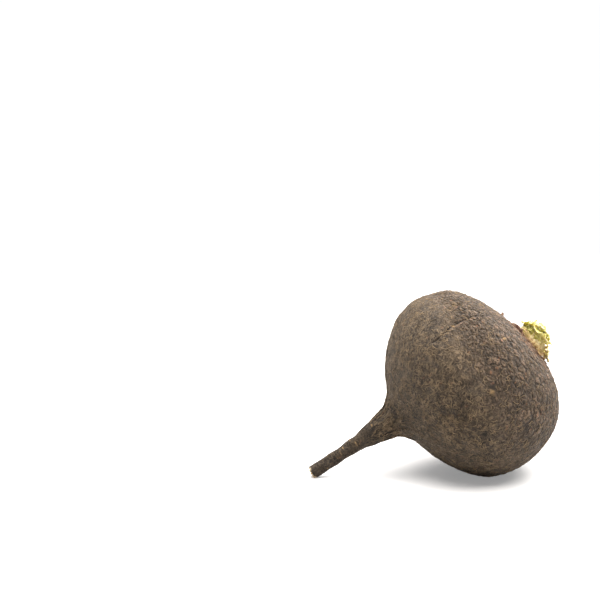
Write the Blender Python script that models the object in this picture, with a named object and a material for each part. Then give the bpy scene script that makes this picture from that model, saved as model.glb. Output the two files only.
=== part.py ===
"""Black radish, lying on its side: a round dark root with a long taproot, a corky crown and a tuft of young leaves.

Metres, +Z up. The root's axis lies in the XZ plane, its crown up at +X and its taproot down at -X. The origin is
the middle of the small flat spot that the body rests on, so the surface under it is z = 0.
"""

import math
import random

import bmesh
import bpy
from mathutils import Matrix, Vector

# Body, measured along the root's axis from the body's middle: + towards the crown
BODY_RADIUS = 0.0433
CROWN_HALF_LENGTH = 0.0326
CROWN_POWER = 2.24
TAIL_HALF_LENGTH = 0.0349
TAIL_POWER = 2.02
BODY_SIDES = 48

# Taproot: its cut tip, how it thickens into the neck, and how the neck flares into the body
TIP_AT = -0.0815
TIP_RADIUS = 0.0030
NECK_GROWTH = 0.0050
NECK_FROM = -0.0684
NECK_TO = -0.0271
FLARE_GROWTH = 0.0061
FLARE_FROM = -0.0416
FLARE_TO = -0.0303
NECK_BLEND = 4.3

# Pitch of the axis above the surface, in degrees, and the stretches over which it turns
TAPROOT_PITCH = 31.6
NECK_TURN = -9.0
NECK_TURN_FROM = -0.0664
NECK_TURN_TO = 0.0085
CROWN_TURN = 16.8
CROWN_TURN_FROM = -0.0126
CROWN_TURN_TO = 0.0436

# The body settles on a flat spot this deep
REST_DEPTH = 0.0009

# What keeps the root from being a true round: broad lumps, folds where the neck begins, knobs on the taproot
LUMP_HEIGHT = 0.00055
FOLD_HEIGHT = 0.00035
FOLDS_AT = -0.0375
FOLDS_REACH = 0.0120
KNOB_HEIGHT = 0.00022
KNOBS_AT = -0.0620
KNOBS_REACH = 0.0260
# Broad rises and a hollow of the upper side: place along the axis, reach to each side, and height
UPPER_RISES = ((-0.0136, 0.0160, 0.0018), (0.0060, 0.0120, -0.0012), (0.0230, 0.0110, 0.0005))

# Crown plate: nearly flat, a low rim round it and a well in the middle that the leaves stand in
PLATE_AT = 0.0312
PLATE_SOFTNESS = 0.0006
RIM_HEIGHT = 0.0006
RIM_AT = 0.0135
RIM_REACH = 0.0035
WELL_RADIUS = 0.0090
WELL_DEPTH = 0.0016
CORK_RADIUS = 0.0225
LEDGE_PITCH = 0.0026
LEDGE_HEIGHT = 0.00035

# Leaf scars: thin corky crescents set in a spiral over the crown
SCAR_COUNT = 28
SCAR_FIRST_RADIUS = 0.0104
SCAR_LAST_RADIUS = 0.0200
SCAR_THICKNESS = 0.0007
SCAR_HEIGHT = 0.0011
SCAR_SUNK = 0.0013
GOLDEN_TURN = math.radians(137.5)

# Leaf tuft, in the crown's own frame
FIT_GAP = 0.0003
SHEATH_INNER = 0.0056
SHEATH_RISE = 0.0011
STUB_TURNS = (59, 118, 150, 210, 270, 326)
STUB_THICKNESS = 0.0009
BUD_RADIUS = 0.0024
BUD_HEIGHT = 0.0056
BUD_LEAFLETS = 7
STALK_CIRCLE = 0.0042
STALK_HALF_WIDTH = 0.0009
BLADE_THICKNESS = 0.0007
LEAF_STEPS = 15
LEAF_COLUMNS = 7
LEAF_FRILL = 0.0006
TOOTH_DEPTH = 0.3

LINE_STEP = 0.0005
SMALLEST_EDGE = 0.00001


def smooth_step(x):
    x = min(max(x, 0.0), 1.0)
    return x * x * x * (10 - 15 * x + 6 * x * x)


def between(x, start, end):
    """0 before start, 1 after end, and smooth from one to the other."""
    return smooth_step((x - start) / (end - start))


def bump(x, middle, reach):
    """1 at the middle, falling smoothly to 0 at the reach on both sides."""
    return smooth_step(1 - abs(x - middle) / reach)


def root_radius(at):
    """Radius of the root at a place along its axis, without its lumps."""
    half_length = CROWN_HALF_LENGTH if at > 0 else TAIL_HALF_LENGTH
    power = CROWN_POWER if at > 0 else TAIL_POWER
    inside = max(1 - (abs(at) / half_length) ** power, 0.0)
    body = BODY_RADIUS * inside ** (1 / power)
    taproot = TIP_RADIUS + NECK_GROWTH * between(at, NECK_FROM, NECK_TO)
    taproot += FLARE_GROWTH * between(at, FLARE_FROM, FLARE_TO)
    return (body**NECK_BLEND + taproot**NECK_BLEND) ** (1 / NECK_BLEND)


def crown_height(out):
    """Place along the axis of the crown's surface, this far out from the axis: the plate, its rim and the shoulder."""
    inside = max(1 - (out / BODY_RADIUS) ** CROWN_POWER, 0.0)
    shoulder = CROWN_HALF_LENGTH * inside ** (1 / CROWN_POWER)
    plate = PLATE_AT + RIM_HEIGHT * bump(out, RIM_AT, RIM_REACH)
    both = math.exp(-shoulder / PLATE_SOFTNESS) + math.exp(-plate / PLATE_SOFTNESS)
    return -PLATE_SOFTNESS * math.log(both)


def axis_pitch(at):
    turn = NECK_TURN * between(at, NECK_TURN_FROM, NECK_TURN_TO)
    turn += CROWN_TURN * between(at, CROWN_TURN_FROM, CROWN_TURN_TO)
    return math.radians(TAPROOT_PITCH + turn)


def axis_line():
    """Points of the bent axis, a small step apart, each with its place along the axis."""
    line = {0: Vector((0, 0, 0))}
    for way, end in ((1, 0.05), (-1, -0.09)):
        point = Vector((0, 0, 0))
        for count in range(1, round(abs(end) / LINE_STEP) + 1):
            pitch = axis_pitch(way * (count - 0.5) * LINE_STEP)
            point = point + way * LINE_STEP * Vector((math.cos(pitch), 0, math.sin(pitch)))
            line[way * count] = point
    return line


AXIS = axis_line()


def axis_point(at):
    step = math.floor(at / LINE_STEP)
    return AXIS[step].lerp(AXIS[step + 1], at / LINE_STEP - step)


def place(at, out, turn):
    """The point this far out from the axis, turned round it from its upper side."""
    pitch = axis_pitch(at)
    upper = Vector((-math.sin(pitch), 0, math.cos(pitch)))
    return axis_point(at) + out * (math.cos(turn) * upper + math.sin(turn) * Vector((0, 1, 0)))


def crown_point(out, turn):
    return place(crown_height(out), out, turn)


def crown_normal(out, turn):
    step = 0.0002
    outwards = crown_point(out + step, turn) - crown_point(out - step, turn)
    around = crown_point(out, turn + step / out) - crown_point(out, turn - step / out)
    return around.cross(outwards).normalized()


def ledge_phase(out, turn):
    """Counts the crown's ring ledges outwards. They waver, so they aren't true circles."""
    waver = 0.0007 * math.sin(2 * turn + 0.8) + 0.0005 * math.sin(5 * turn + 2.1)
    return (out + waver) / LEDGE_PITCH


def swelling(at, turn):
    """How far the surface stands off a true round: lumps, folds at the neck, knobs, and the upper side's rises."""
    lumps = math.sin(2 * turn + 90 * at + 0.4) + 0.6 * math.sin(3 * turn - 140 * at + 1.9)
    lumps += 0.35 * math.sin(7 * turn + 1.3) * math.sin(310 * at)
    folds = math.sin(9 * turn + 2.2 * math.sin(2 * turn)) * bump(at, FOLDS_AT, FOLDS_REACH)
    knobs = math.sin(2 * turn + 700 * at) * bump(at, KNOBS_AT, KNOBS_REACH)
    rises = sum(height * bump(at, middle, reach) for middle, reach, height in UPPER_RISES)
    rises *= between(math.cos(turn), -0.2, 1.0)
    return LUMP_HEIGHT * lumps * bump(at, 0.0, 0.036) + FOLD_HEIGHT * folds + KNOB_HEIGHT * knobs + rises


def crown_relief(out, turn):
    """Height of the corky ledges round the plate."""
    zone = between(out, WELL_RADIUS, WELL_RADIUS + 0.002) * (1 - between(out, CORK_RADIUS - 0.004, CORK_RADIUS))
    phase = ledge_phase(out, turn) % 1.0
    return LEDGE_HEIGHT * zone * (2 * abs(phase - 0.5) - 0.5)


def spread(start, end, count):
    return [start + (end - start) * step / count for step in range(count + 1)]


def root_outline():
    """(out, along) down the root's side, from the middle of the well to the middle of the cut tip."""
    floor = PLATE_AT - WELL_DEPTH
    outline = [(0.0, floor), (WELL_RADIUS * 0.55, floor), (WELL_RADIUS, floor)]
    outline.append((WELL_RADIUS + 0.0002, crown_height(WELL_RADIUS)))
    outline += [(out, crown_height(out)) for out in spread(WELL_RADIUS + 0.0009, CORK_RADIUS, 10)]
    shoulder = math.asin(CORK_RADIUS / BODY_RADIUS)
    for angle in spread(shoulder, math.pi / 2, 6)[1:-1]:
        out = BODY_RADIUS * math.sin(angle)
        outline.append((out, crown_height(out)))
    below = [-TAIL_HALF_LENGTH * math.sin(angle) for angle in spread(0, math.radians(74), 10)]
    below += spread(-TAIL_HALF_LENGTH * 0.98, FLARE_FROM, 5)
    below += spread(FLARE_FROM, TIP_AT, 14)[1:]
    outline += [(root_radius(at), at) for at in below]
    outline += [(TIP_RADIUS * 0.72, TIP_AT - 0.0004), (0.0, TIP_AT - 0.0003)]
    return outline


def root_body(mesh):
    """The outline turned round the axis, then given its lumps and bent."""
    outline = root_outline()
    points = [mesh.verts.new((out, 0, along)) for out, along in outline]
    edges = [mesh.edges.new(pair) for pair in zip(points[:-1], points[1:])]
    bmesh.ops.spin(mesh, geom=points + edges, cent=(0, 0, 0), axis=(0, 0, 1), dvec=(0, 0, 0),
                   angle=2 * math.pi, steps=BODY_SIDES, use_merge=True)
    bmesh.ops.remove_doubles(mesh, verts=mesh.verts, dist=1e-6)
    for vert in mesh.verts:
        out = math.hypot(vert.co.x, vert.co.y)
        at = vert.co.z
        turn = math.atan2(vert.co.y, vert.co.x)
        if WELL_RADIUS < out < CORK_RADIUS and at > 0.02:
            at += crown_relief(out, turn)
        if out > 0.4 * TIP_RADIUS:
            out += swelling(at, turn) * min(out / 0.004, 1.0)
        vert.co = place(at, out, turn)
    mesh.normal_update()
    bmesh.ops.recalc_face_normals(mesh, faces=mesh.faces)


def loft(mesh, rings):
    """Skins rings of equal count into one closed body, by extruding the end face from each ring to the next."""
    face = mesh.faces.new([mesh.verts.new(point) for point in rings[0]])
    made = [face]
    for count, ring in enumerate(rings[1:]):
        grown = bmesh.ops.extrude_face_region(mesh, geom=[face])["geom"]
        end = next(item for item in grown if isinstance(item, bmesh.types.BMFace))
        for vert, point in zip(end.verts, ring):
            vert.co = point
        if count:
            mesh.faces.remove(face)
            made.pop()
        made += [edge_face for edge in end.edges for edge_face in edge.link_faces if edge_face is not end]
        face = end
        made.append(face)
    mesh.normal_update()
    bmesh.ops.recalc_face_normals(mesh, faces=made)


def scar_rings(draw, out, turn, span):
    """Sections along one corky crescent: upright, leaning out, highest in its middle and ragged."""
    rings = []
    stations = 6
    lean = draw.uniform(0.1, 0.6)
    height = SCAR_HEIGHT * draw.uniform(0.6, 1.25) * (1 - 0.75 * between(out, RIM_AT, SCAR_LAST_RADIUS))
    for station in range(stations):
        along = 2 * station / (stations - 1) - 1
        at_turn = turn + along * span / 2
        at_out = out - 0.06 * out * along * along
        up = crown_normal(at_out, at_turn)
        base = crown_point(at_out, at_turn)
        away = (crown_point(at_out + 0.0004, at_turn) - base).normalized()
        rise = height * (1 - along * along) ** 0.6 * draw.uniform(0.65, 1.15)
        half = SCAR_THICKNESS / 2 * (1 - 0.45 * along * along)
        foot = base - SCAR_SUNK * up
        top = base + (rise + 0.0001) * up + lean * rise * away
        rings.append([foot - half * away, foot + half * away, top + 0.7 * half * away, top - 0.7 * half * away])
    return rings


def root_scars():
    """The rings of each leaf scar, from the plate's edge out over the shoulder."""
    draw = random.Random(7)
    scars = []
    for count in range(SCAR_COUNT):
        share = (count + 0.5) / SCAR_COUNT
        out = SCAR_FIRST_RADIUS + (SCAR_LAST_RADIUS - SCAR_FIRST_RADIUS) * share
        turn = count * GOLDEN_TURN + draw.uniform(-0.15, 0.15)
        scars.append(scar_rings(draw, out, turn, draw.uniform(0.45, 0.8)))
    return scars


def nub_rings(at, turn, length):
    """A short stub of a side root, pointing out from the taproot and a little towards its tip."""
    base = place(at, root_radius(at) - 0.0008, turn)
    out = (place(at, root_radius(at) + 0.001, turn) - base).normalized()
    along = (axis_point(at - 0.001) - axis_point(at)).normalized()
    side = out.cross(along)
    aim = (out + 0.5 * along).normalized()
    rings = []
    for share, radius in ((0.0, 0.0009), (0.55, 0.0006), (1.0, 0.00035)):
        middle = base + aim * (0.0008 + length) * share
        angles = [2 * math.pi * corner / 6 for corner in range(6)]
        rings.append([middle + radius * (math.cos(angle) * along + math.sin(angle) * side) for angle in angles])
    return rings


def root_nubs():
    places = ((-0.0395, 3.3, 0.0007), (-0.046, 0.7, 0.0009), (-0.052, 2.5, 0.0006), (-0.059, 4.4, 0.0008),
              (-0.066, 1.5, 0.0005), (-0.073, 3.6, 0.0006))
    return [nub_rings(at, turn, length) for at, turn, length in places]


def flat_spot(mesh):
    """Cuts the body where it rests and closes the cut with one flat face. Returns the middle of that face."""
    level = min(vert.co.z for vert in mesh.verts if abs(vert.co.x) < BODY_RADIUS) + REST_DEPTH
    cut = bmesh.ops.bisect_plane(mesh, geom=mesh.verts[:] + mesh.edges[:] + mesh.faces[:],
                                 plane_co=(0, 0, level), plane_no=(0, 0, -1), clear_outer=True)
    edges = [item for item in cut["geom_cut"] if isinstance(item, bmesh.types.BMEdge)]
    bmesh.ops.holes_fill(mesh, edges=edges, sides=0)
    around = {vert for edge in edges for vert in edge.verts if abs(vert.co.x) < BODY_RADIUS}
    middle = sum((vert.co for vert in around), Vector()) / len(around)
    return Vector((middle.x, 0, level))


def object_from(mesh, name, material):
    bmesh.ops.triangulate(mesh, faces=mesh.faces)
    data = bpy.data.meshes.new(name)
    mesh.to_mesh(data)
    mesh.free()
    item = bpy.data.objects.new(name, data)
    bpy.context.scene.collection.objects.link(item)
    if material is not None:
        data.materials.append(material)
    return item


def drop_scraps(data):
    """Merges what the union left closer than a hundredth of a millimetre, and drops its loose crumbs."""
    mesh = bmesh.new()
    mesh.from_mesh(data)
    bmesh.ops.triangulate(mesh, faces=mesh.faces)
    bmesh.ops.dissolve_degenerate(mesh, dist=SMALLEST_EDGE, edges=mesh.edges)
    bmesh.ops.triangulate(mesh, faces=mesh.faces)
    left = set(mesh.verts)
    islands = []
    while left:
        island = set()
        waiting = [left.pop()]
        while waiting:
            vert = waiting.pop()
            island.add(vert)
            for edge in vert.link_edges:
                other = edge.other_vert(vert)
                if other in left:
                    left.remove(other)
                    waiting.append(other)
        islands.append(island)
    largest = max(islands, key=len)
    for island in islands:
        if island is not largest:
            bmesh.ops.delete(mesh, geom=list(island), context="VERTS")
    mesh.to_mesh(data)
    mesh.free()


def fuse(item, bodies):
    """Joins the bodies, each a list of rings, to the object in one union, then removes them."""
    group = bpy.data.collections.new(item.name + "_repeats")
    bpy.context.scene.collection.children.link(group)
    for count, rings in enumerate(bodies):
        mesh = bmesh.new()
        loft(mesh, rings)
        piece = object_from(mesh, f"{item.name}_repeat_{count}", None)
        bpy.context.scene.collection.objects.unlink(piece)
        group.objects.link(piece)
    union = item.modifiers.new("repeats", "BOOLEAN")
    union.operation = "UNION"
    union.operand_type = "COLLECTION"
    union.collection = group
    union.solver = "MANIFOLD"
    graph = bpy.context.evaluated_depsgraph_get()
    joined = bpy.data.meshes.new_from_object(item.evaluated_get(graph))
    item.modifiers.clear()
    item.data = joined
    drop_scraps(joined)
    for piece in list(group.objects):
        bpy.data.objects.remove(piece)
    bpy.data.collections.remove(group)
    item.data.shade_smooth()
    item.data.set_sharp_from_angle(angle=math.radians(40))


def build_root(skin):
    mesh = bmesh.new()
    root_body(mesh)
    rest = flat_spot(mesh)
    root = object_from(mesh, "root", skin)
    fuse(root, root_scars() + root_nubs())
    root.data.transform(Matrix.Translation(-rest))
    return rest


def crown_frame(rest):
    """Turns the tuft's own frame to the crown: its Z out of the plate, its X down the slope, its Y across."""
    pitch = axis_pitch(PLATE_AT)
    out = Vector((math.cos(pitch), 0, math.sin(pitch)))
    down = Vector((math.sin(pitch), 0, -math.cos(pitch)))
    middle = axis_point(PLATE_AT) - rest
    return Matrix.Translation(middle) @ Matrix((down, Vector((0, 1, 0)), out)).transposed().to_4x4()


def polar(out, turn, height):
    return Vector((out * math.cos(turn), out * math.sin(turn), height))


def stub_rings(draw, turn, height):
    """A dry leaf base: a curved strip that hugs the ring, leans out and ends ragged."""
    rings = []
    stations = 5
    half_span = 0.26
    for station in range(stations):
        share = station / (stations - 1)
        out = 0.0067 + 0.0012 * share * share
        rise = -0.0002 + (SHEATH_RISE + height) * share - WELL_DEPTH * (1 - share) * 0.2
        reach = half_span * (1 - 0.35 * share)
        half = STUB_THICKNESS / 2 * (1 - 0.2 * share)
        inner, outer = [], []
        for column in range(4):
            across = 2 * column / 3 - 1
            ragged = 0.0007 * share * share * draw.uniform(-1, 1)
            inner.append(polar(out - half, turn + reach * across, rise + ragged))
            outer.append(polar(out + half, turn + reach * across, rise + ragged))
        rings.append(inner + outer[::-1])
    return rings


def build_sheaths(frame, material):
    """The ring of dry leaf bases in the crown's well, with its stubs standing on it."""
    floor = -WELL_DEPTH + FIT_GAP
    outer = WELL_RADIUS - FIT_GAP
    outline = ((SHEATH_INNER, floor), (outer, floor), (outer, -0.0004), (outer - 0.0008, SHEATH_RISE * 0.7),
               (SHEATH_INNER + 0.0008, SHEATH_RISE), (SHEATH_INNER, SHEATH_RISE * 0.4))
    mesh = bmesh.new()
    points = [mesh.verts.new((out, 0, height)) for out, height in outline]
    edges = [mesh.edges.new((points[count - 1], points[count])) for count in range(len(points))]
    bmesh.ops.spin(mesh, geom=points + edges, cent=(0, 0, 0), axis=(0, 0, 1), dvec=(0, 0, 0),
                   angle=2 * math.pi, steps=30, use_merge=True)
    for vert in mesh.verts:
        turn = math.atan2(vert.co.y, vert.co.x)
        if vert.co.z > 0:
            vert.co.z += 0.0003 * math.sin(6 * turn + 1.0) + 0.0002 * math.sin(11 * turn)
    bmesh.ops.recalc_face_normals(mesh, faces=mesh.faces)
    sheaths = object_from(mesh, "leaf_sheaths", material)
    draw = random.Random(3)
    stubs = []
    for turn in STUB_TURNS:
        stubs.append(stub_rings(draw, math.radians(turn), draw.uniform(0.0008, 0.0020)))
    fuse(sheaths, stubs)
    sheaths.data.transform(frame)


def leaf_path(turn, rise, reach, droop):
    """The midrib: up out of the crown, then bending outwards and, at its end, down."""
    start = -WELL_DEPTH + FIT_GAP
    points = []
    for step in range(LEAF_STEPS + 1):
        share = step / LEAF_STEPS
        out = STALK_CIRCLE + reach * share**1.7
        height = start + (rise - start) * math.sin(share * math.pi / 2) - droop * share**3
        points.append(polar(out, turn, height))
    return points


def leaf_widths(blade, blade_from):
    """Half width at each step: a slim stalk, then a blade in lobes, with a tooth at every other step."""
    widths = []
    for step in range(LEAF_STEPS + 1):
        share = max((step / LEAF_STEPS - blade_from) / (1.04 - blade_from), 0.0)
        swell = math.sin(math.pi * share**0.8) ** 0.6 if share > 0 else 0.0
        lobes = 1 - 0.22 * math.cos(4 * math.pi * share)
        tooth = 1 - TOOTH_DEPTH * (step % 2) * swell
        widths.append(STALK_HALF_WIDTH + (blade - STALK_HALF_WIDTH) * swell * lobes * tooth)
    return widths


def leaf_rings(path, widths, frill, phase):
    """Sections across a leaf, each a thin closed strip that is cupped and waved more towards its edges."""
    radial = Vector((path[-1].x, path[-1].y, 0)).normalized()
    side = Vector((0, 0, 1)).cross(radial)
    rings = []
    for step, (point, width) in enumerate(zip(path, widths)):
        ahead = path[min(step + 1, LEAF_STEPS)] - path[max(step - 1, 0)]
        upper = ahead.cross(side).normalized()
        blade = between(width, STALK_HALF_WIDTH, 2.5 * STALK_HALF_WIDTH)
        half = BLADE_THICKNESS / 2 + 0.0003 * (1 - blade)
        top, under = [], []
        for column in range(LEAF_COLUMNS):
            across = 2 * column / (LEAF_COLUMNS - 1) - 1
            wave = frill * blade * abs(across) ** 1.5 * math.sin(1.7 * step + phase + 2.0 * across)
            middle = point + side * width * across + upper * (wave + 0.25 * width * blade * across * across)
            edge = half * (1 - 0.7 * (1 - blade) * across * across)
            top.append(middle + upper * edge)
            under.append(middle - upper * edge)
        rings.append(top + under[::-1])
    return rings


# For each young leaf: its turn round the crown in degrees, where 0 is down the slope, then the rise, reach and
# droop of its midrib, the half width of its blade, and the share of its length where the blade starts
YOUNG_LEAVES = (
    (354, 0.0046, 0.0080, 0.0024, 0.0013, 0.70),
    (30, 0.0062, 0.0058, 0.0022, 0.0017, 0.55),
    (88, 0.0078, 0.0044, 0.0008, 0.0032, 0.34),
    (176, 0.0066, 0.0058, 0.0024, 0.0036, 0.34),
    (234, 0.0092, 0.0026, 0.0000, 0.0032, 0.36),
    (306, 0.0088, 0.0032, 0.0012, 0.0030, 0.38),
)


def build_young_leaf(count, frame, material):
    turn, rise, reach, droop, blade, blade_from = YOUNG_LEAVES[count]
    path = leaf_path(math.radians(turn), rise, reach, droop)
    mesh = bmesh.new()
    loft(mesh, leaf_rings(path, leaf_widths(blade, blade_from), LEAF_FRILL, 1.3 * count))
    leaf = object_from(mesh, f"young_leaf_{count + 1}", material)
    leaf.data.shade_smooth()
    leaf.data.transform(frame)


def leaflet_rings(draw, turn, height):
    """One leaflet folded against the bud, with a scalloped top edge."""
    rings = []
    stations = 5
    for station in range(stations):
        share = station / (stations - 1)
        out = BUD_RADIUS * (1.02 - 0.45 * share * share)
        rise = height * (0.15 + 0.85 * share)
        reach = 0.55 * math.sin(math.pi * (0.2 + 0.62 * share))
        inner, outer = [], []
        for column in range(5):
            across = 2 * column / 4 - 1
            scallop = 0.0005 * share * (1 if column % 2 else -0.4) + 0.0002 * draw.uniform(-1, 1) * share
            curl = 0.0004 * share * share
            inner.append(polar(out - 0.0006, turn + reach * across, rise + scallop))
            outer.append(polar(out + 0.0004 + curl, turn + reach * across, rise + scallop - 0.0002))
        rings.append(inner + outer[::-1])
    return rings


def build_bud(frame, material):
    """The tight heart of the tuft: a slim core with leaflets folded round it."""
    mesh = bmesh.new()
    bmesh.ops.create_icosphere(mesh, subdivisions=2, radius=BUD_RADIUS)
    start = -WELL_DEPTH + FIT_GAP
    for vert in mesh.verts:
        share = (vert.co.z / BUD_RADIUS + 1) / 2
        narrow = 1 - 0.3 * share
        vert.co.x *= narrow
        vert.co.y *= narrow
        vert.co.z = start + (BUD_HEIGHT + WELL_DEPTH) * share
    bud = object_from(mesh, "bud", material)
    draw = random.Random(11)
    leaflets = []
    for count in range(BUD_LEAFLETS):
        turn = count * GOLDEN_TURN
        leaflets.append(leaflet_rings(draw, turn, BUD_HEIGHT * (0.72 + 0.36 * count / BUD_LEAFLETS)))
    fuse(bud, leaflets)
    bud.data.transform(frame)


def make_material(name, colour, roughness):
    material = bpy.data.materials.new(name)
    material.use_nodes = True
    shader = material.node_tree.nodes["Principled BSDF"]
    shader.inputs["Base Color"].default_value = (*colour, 1.0)
    shader.inputs["Roughness"].default_value = roughness
    shader.inputs["Metallic"].default_value = 0.0
    material.diffuse_color = (*colour, 1.0)
    return material


def main():
    for item in list(bpy.data.objects):
        bpy.data.objects.remove(item)
    skin = make_material("dark_skin", (0.070, 0.053, 0.042), 0.85)
    straw = make_material("dry_sheath", (0.52, 0.38, 0.18), 0.75)
    heart = make_material("bud_green", (0.56, 0.60, 0.14), 0.55)
    leaf = make_material("young_leaf_green", (0.42, 0.48, 0.07), 0.55)
    rest = build_root(skin)
    frame = crown_frame(rest)
    build_sheaths(frame, straw)
    build_bud(frame, heart)
    for count in range(len(YOUNG_LEAVES)):
        build_young_leaf(count, frame, leaf)


main()
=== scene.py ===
"""The looks of a black radish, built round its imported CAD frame.

Metres, +Z up. The root's axis is bent in the XZ plane, its crown up at +X and its taproot down at -X, and the
body rests on z = 0. Each operator makes one piece or a group of like pieces; run as a script, all are called.
"""

import math
import random
from functools import reduce

import bmesh
import bpy
from mathutils import Matrix, Vector, noise
from mathutils.bvhtree import BVHTree


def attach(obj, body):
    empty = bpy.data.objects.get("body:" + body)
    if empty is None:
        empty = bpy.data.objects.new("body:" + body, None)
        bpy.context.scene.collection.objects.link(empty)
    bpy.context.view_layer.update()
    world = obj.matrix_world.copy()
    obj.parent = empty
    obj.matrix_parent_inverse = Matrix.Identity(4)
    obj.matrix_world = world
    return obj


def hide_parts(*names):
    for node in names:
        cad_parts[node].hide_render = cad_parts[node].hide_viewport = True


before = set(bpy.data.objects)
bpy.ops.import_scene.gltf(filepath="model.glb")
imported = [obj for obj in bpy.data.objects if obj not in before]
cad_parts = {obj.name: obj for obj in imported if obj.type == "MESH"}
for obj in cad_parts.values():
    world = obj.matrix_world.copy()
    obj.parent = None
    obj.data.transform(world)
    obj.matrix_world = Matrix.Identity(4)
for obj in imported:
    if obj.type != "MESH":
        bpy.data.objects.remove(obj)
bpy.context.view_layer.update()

bl_info = {
    "name": "Black Radish",
    "version": (1, 0, 0),
    "blender": (4, 5, 0),
    "location": "View3D > Sidebar > Radish",
    "description": "Builds a black radish with its corky crown, its young leaves and a studio to show it in",
    "category": "Add Mesh",
}

MM = 0.001

# The root's own shape, the same as the CAD part's, measured along its bent axis: + towards the crown
MIDDLE = Vector((-0.00621, 0.0, 0.04108))
BODY_RADIUS = 0.0433
CROWN_HALF_LENGTH = 0.0326
CROWN_POWER = 2.24
TAIL_HALF_LENGTH = 0.0349
TAIL_POWER = 2.02
TIP_AT = -0.0815
TIP_RADIUS = 0.0030
NECK_GROWTH = 0.0050
NECK_FROM = -0.0684
NECK_TO = -0.0271
FLARE_GROWTH = 0.0061
FLARE_FROM = -0.0416
FLARE_TO = -0.0303
NECK_BLEND = 4.3
TAPROOT_PITCH = 31.6
NECK_TURN = -9.0
NECK_TURN_FROM = -0.0664
NECK_TURN_TO = 0.0085
CROWN_TURN = 16.8
CROWN_TURN_FROM = -0.0126
CROWN_TURN_TO = 0.0436
LUMP_HEIGHT = 0.00055
FOLD_HEIGHT = 0.00035
FOLDS_AT = -0.0375
FOLDS_REACH = 0.0120
KNOB_HEIGHT = 0.00022
KNOBS_AT = -0.0620
KNOBS_REACH = 0.0260
# Broad rises and a hollow of the upper side: place along the axis, reach to each side, and height
UPPER_RISES = ((-0.0136, 0.0160, 0.0018), (0.0060, 0.0120, -0.0012), (0.0230, 0.0110, 0.0005))
PLATE_AT = 0.0312
PLATE_SOFTNESS = 0.0006
RIM_HEIGHT = 0.0006
RIM_AT = 0.0135
RIM_REACH = 0.0035
WELL_RADIUS = 0.0090
WELL_DEPTH = 0.0016
CORK_RADIUS = 0.0225
LEDGE_PITCH = 0.0026
LEDGE_HEIGHT = 0.00035
LINE_STEP = 0.0005
GOLDEN_TURN = math.radians(137.5)
SEEDS = {"flakes": 21, "scars": 7, "scar tones": 8, "sheaths": 3, "bud": 11, "head": 17, "fibres": 5}

# The leaf scars' and the tuft's own shape, the same as the CAD part's
SCAR_COUNT = 28
SCAR_FIRST_RADIUS = 0.0104
SCAR_LAST_RADIUS = 0.0200
SCAR_THICKNESS = 0.0007
SCAR_HEIGHT = 0.0011
SCAR_SUNK = 0.0013
SCAR_PEAKS = 6
FIT_GAP = 0.0003
SHEATH_INNER = 0.0056
SHEATH_RISE = 0.0011
STUB_TURNS = (59, 118, 150, 210, 270, 326)
STUB_THICKNESS = 0.0009
STUB_HALF_SPAN = 0.26
RING_SIDES = 160
STRAPS = 34
STRAP_THICKNESS = 0.00016
BUD_RADIUS = 0.0024
BUD_HEIGHT = 0.0056
BUD_LEAFLETS = 7
BUD_CURDS = 16
STALK_CIRCLE = 0.0042
STALK_HALF_WIDTH = 0.0009
BLADE_THICKNESS = 0.0007
LEAF_STEPS = 15
LEAF_FRILL = 0.0006
TOOTH_DEPTH = 0.3

# For each young leaf: its turn round the crown in degrees, where 0 is down the slope, then the rise, reach
# and droop of its midrib, the half width of its blade, the share of its length where the blade starts, and
# how green it is. The first two are hardly more than stalks, so they stay pale
YOUNG_LEAVES = (
    (354, 0.0046, 0.0080, 0.0024, 0.0013, 0.70, 0.0),
    (30, 0.0062, 0.0058, 0.0022, 0.0017, 0.55, 0.25),
    (88, 0.0078, 0.0044, 0.0008, 0.0032, 0.34, 1.0),
    (176, 0.0066, 0.0058, 0.0024, 0.0036, 0.34, 1.0),
    (234, 0.0092, 0.0026, 0.0000, 0.0032, 0.36, 1.0),
    (306, 0.0088, 0.0032, 0.0012, 0.0030, 0.38, 0.8),
)

# Thin lips of torn skin along the plate's edge: where they start and end round the crown in degrees, where 0
# is up the slope, how far out they stand, how high, and how corky they are. The first is the dark red one in
# front, whose dark red is partly painted shade on its wall
RIM_LIPS = (
    (346, 306, 0.0137, 0.00220, 0.0),
    (258, 244, 0.0136, 0.00080, 0.6),
    (360, 349, 0.0187, 0.00190, 1.0),
    (12, 44, 0.0142, 0.00080, 0.4),
    (70, 96, 0.0137, 0.00060, 0.1),
    (108, 140, 0.0144, 0.00070, 0.7),
    (158, 182, 0.0140, 0.00050, 0.2),
)

# The section of a lip round from its outer foot: how high it has risen, how far it leans out as a share of
# its height, and how far its side stands from its middle
LIP_SECTION = (
    (0.0, 0.00, 0.00030),
    (0.55, 0.05, 0.00020),
    (1.0, 0.25, 0.00012),
    (1.0, 0.25, -0.00012),
    (0.5, 0.05, -0.00020),
)

# The tuft's dense head of crumpled lobes: its middle and its reach along each axis
HEAD_MIDDLE = Vector((0.02312, 0.0, 0.06368))
HEAD_REACH = (0.0060, 0.0046, 0.0037)
HEAD_LOBES = 190

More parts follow.
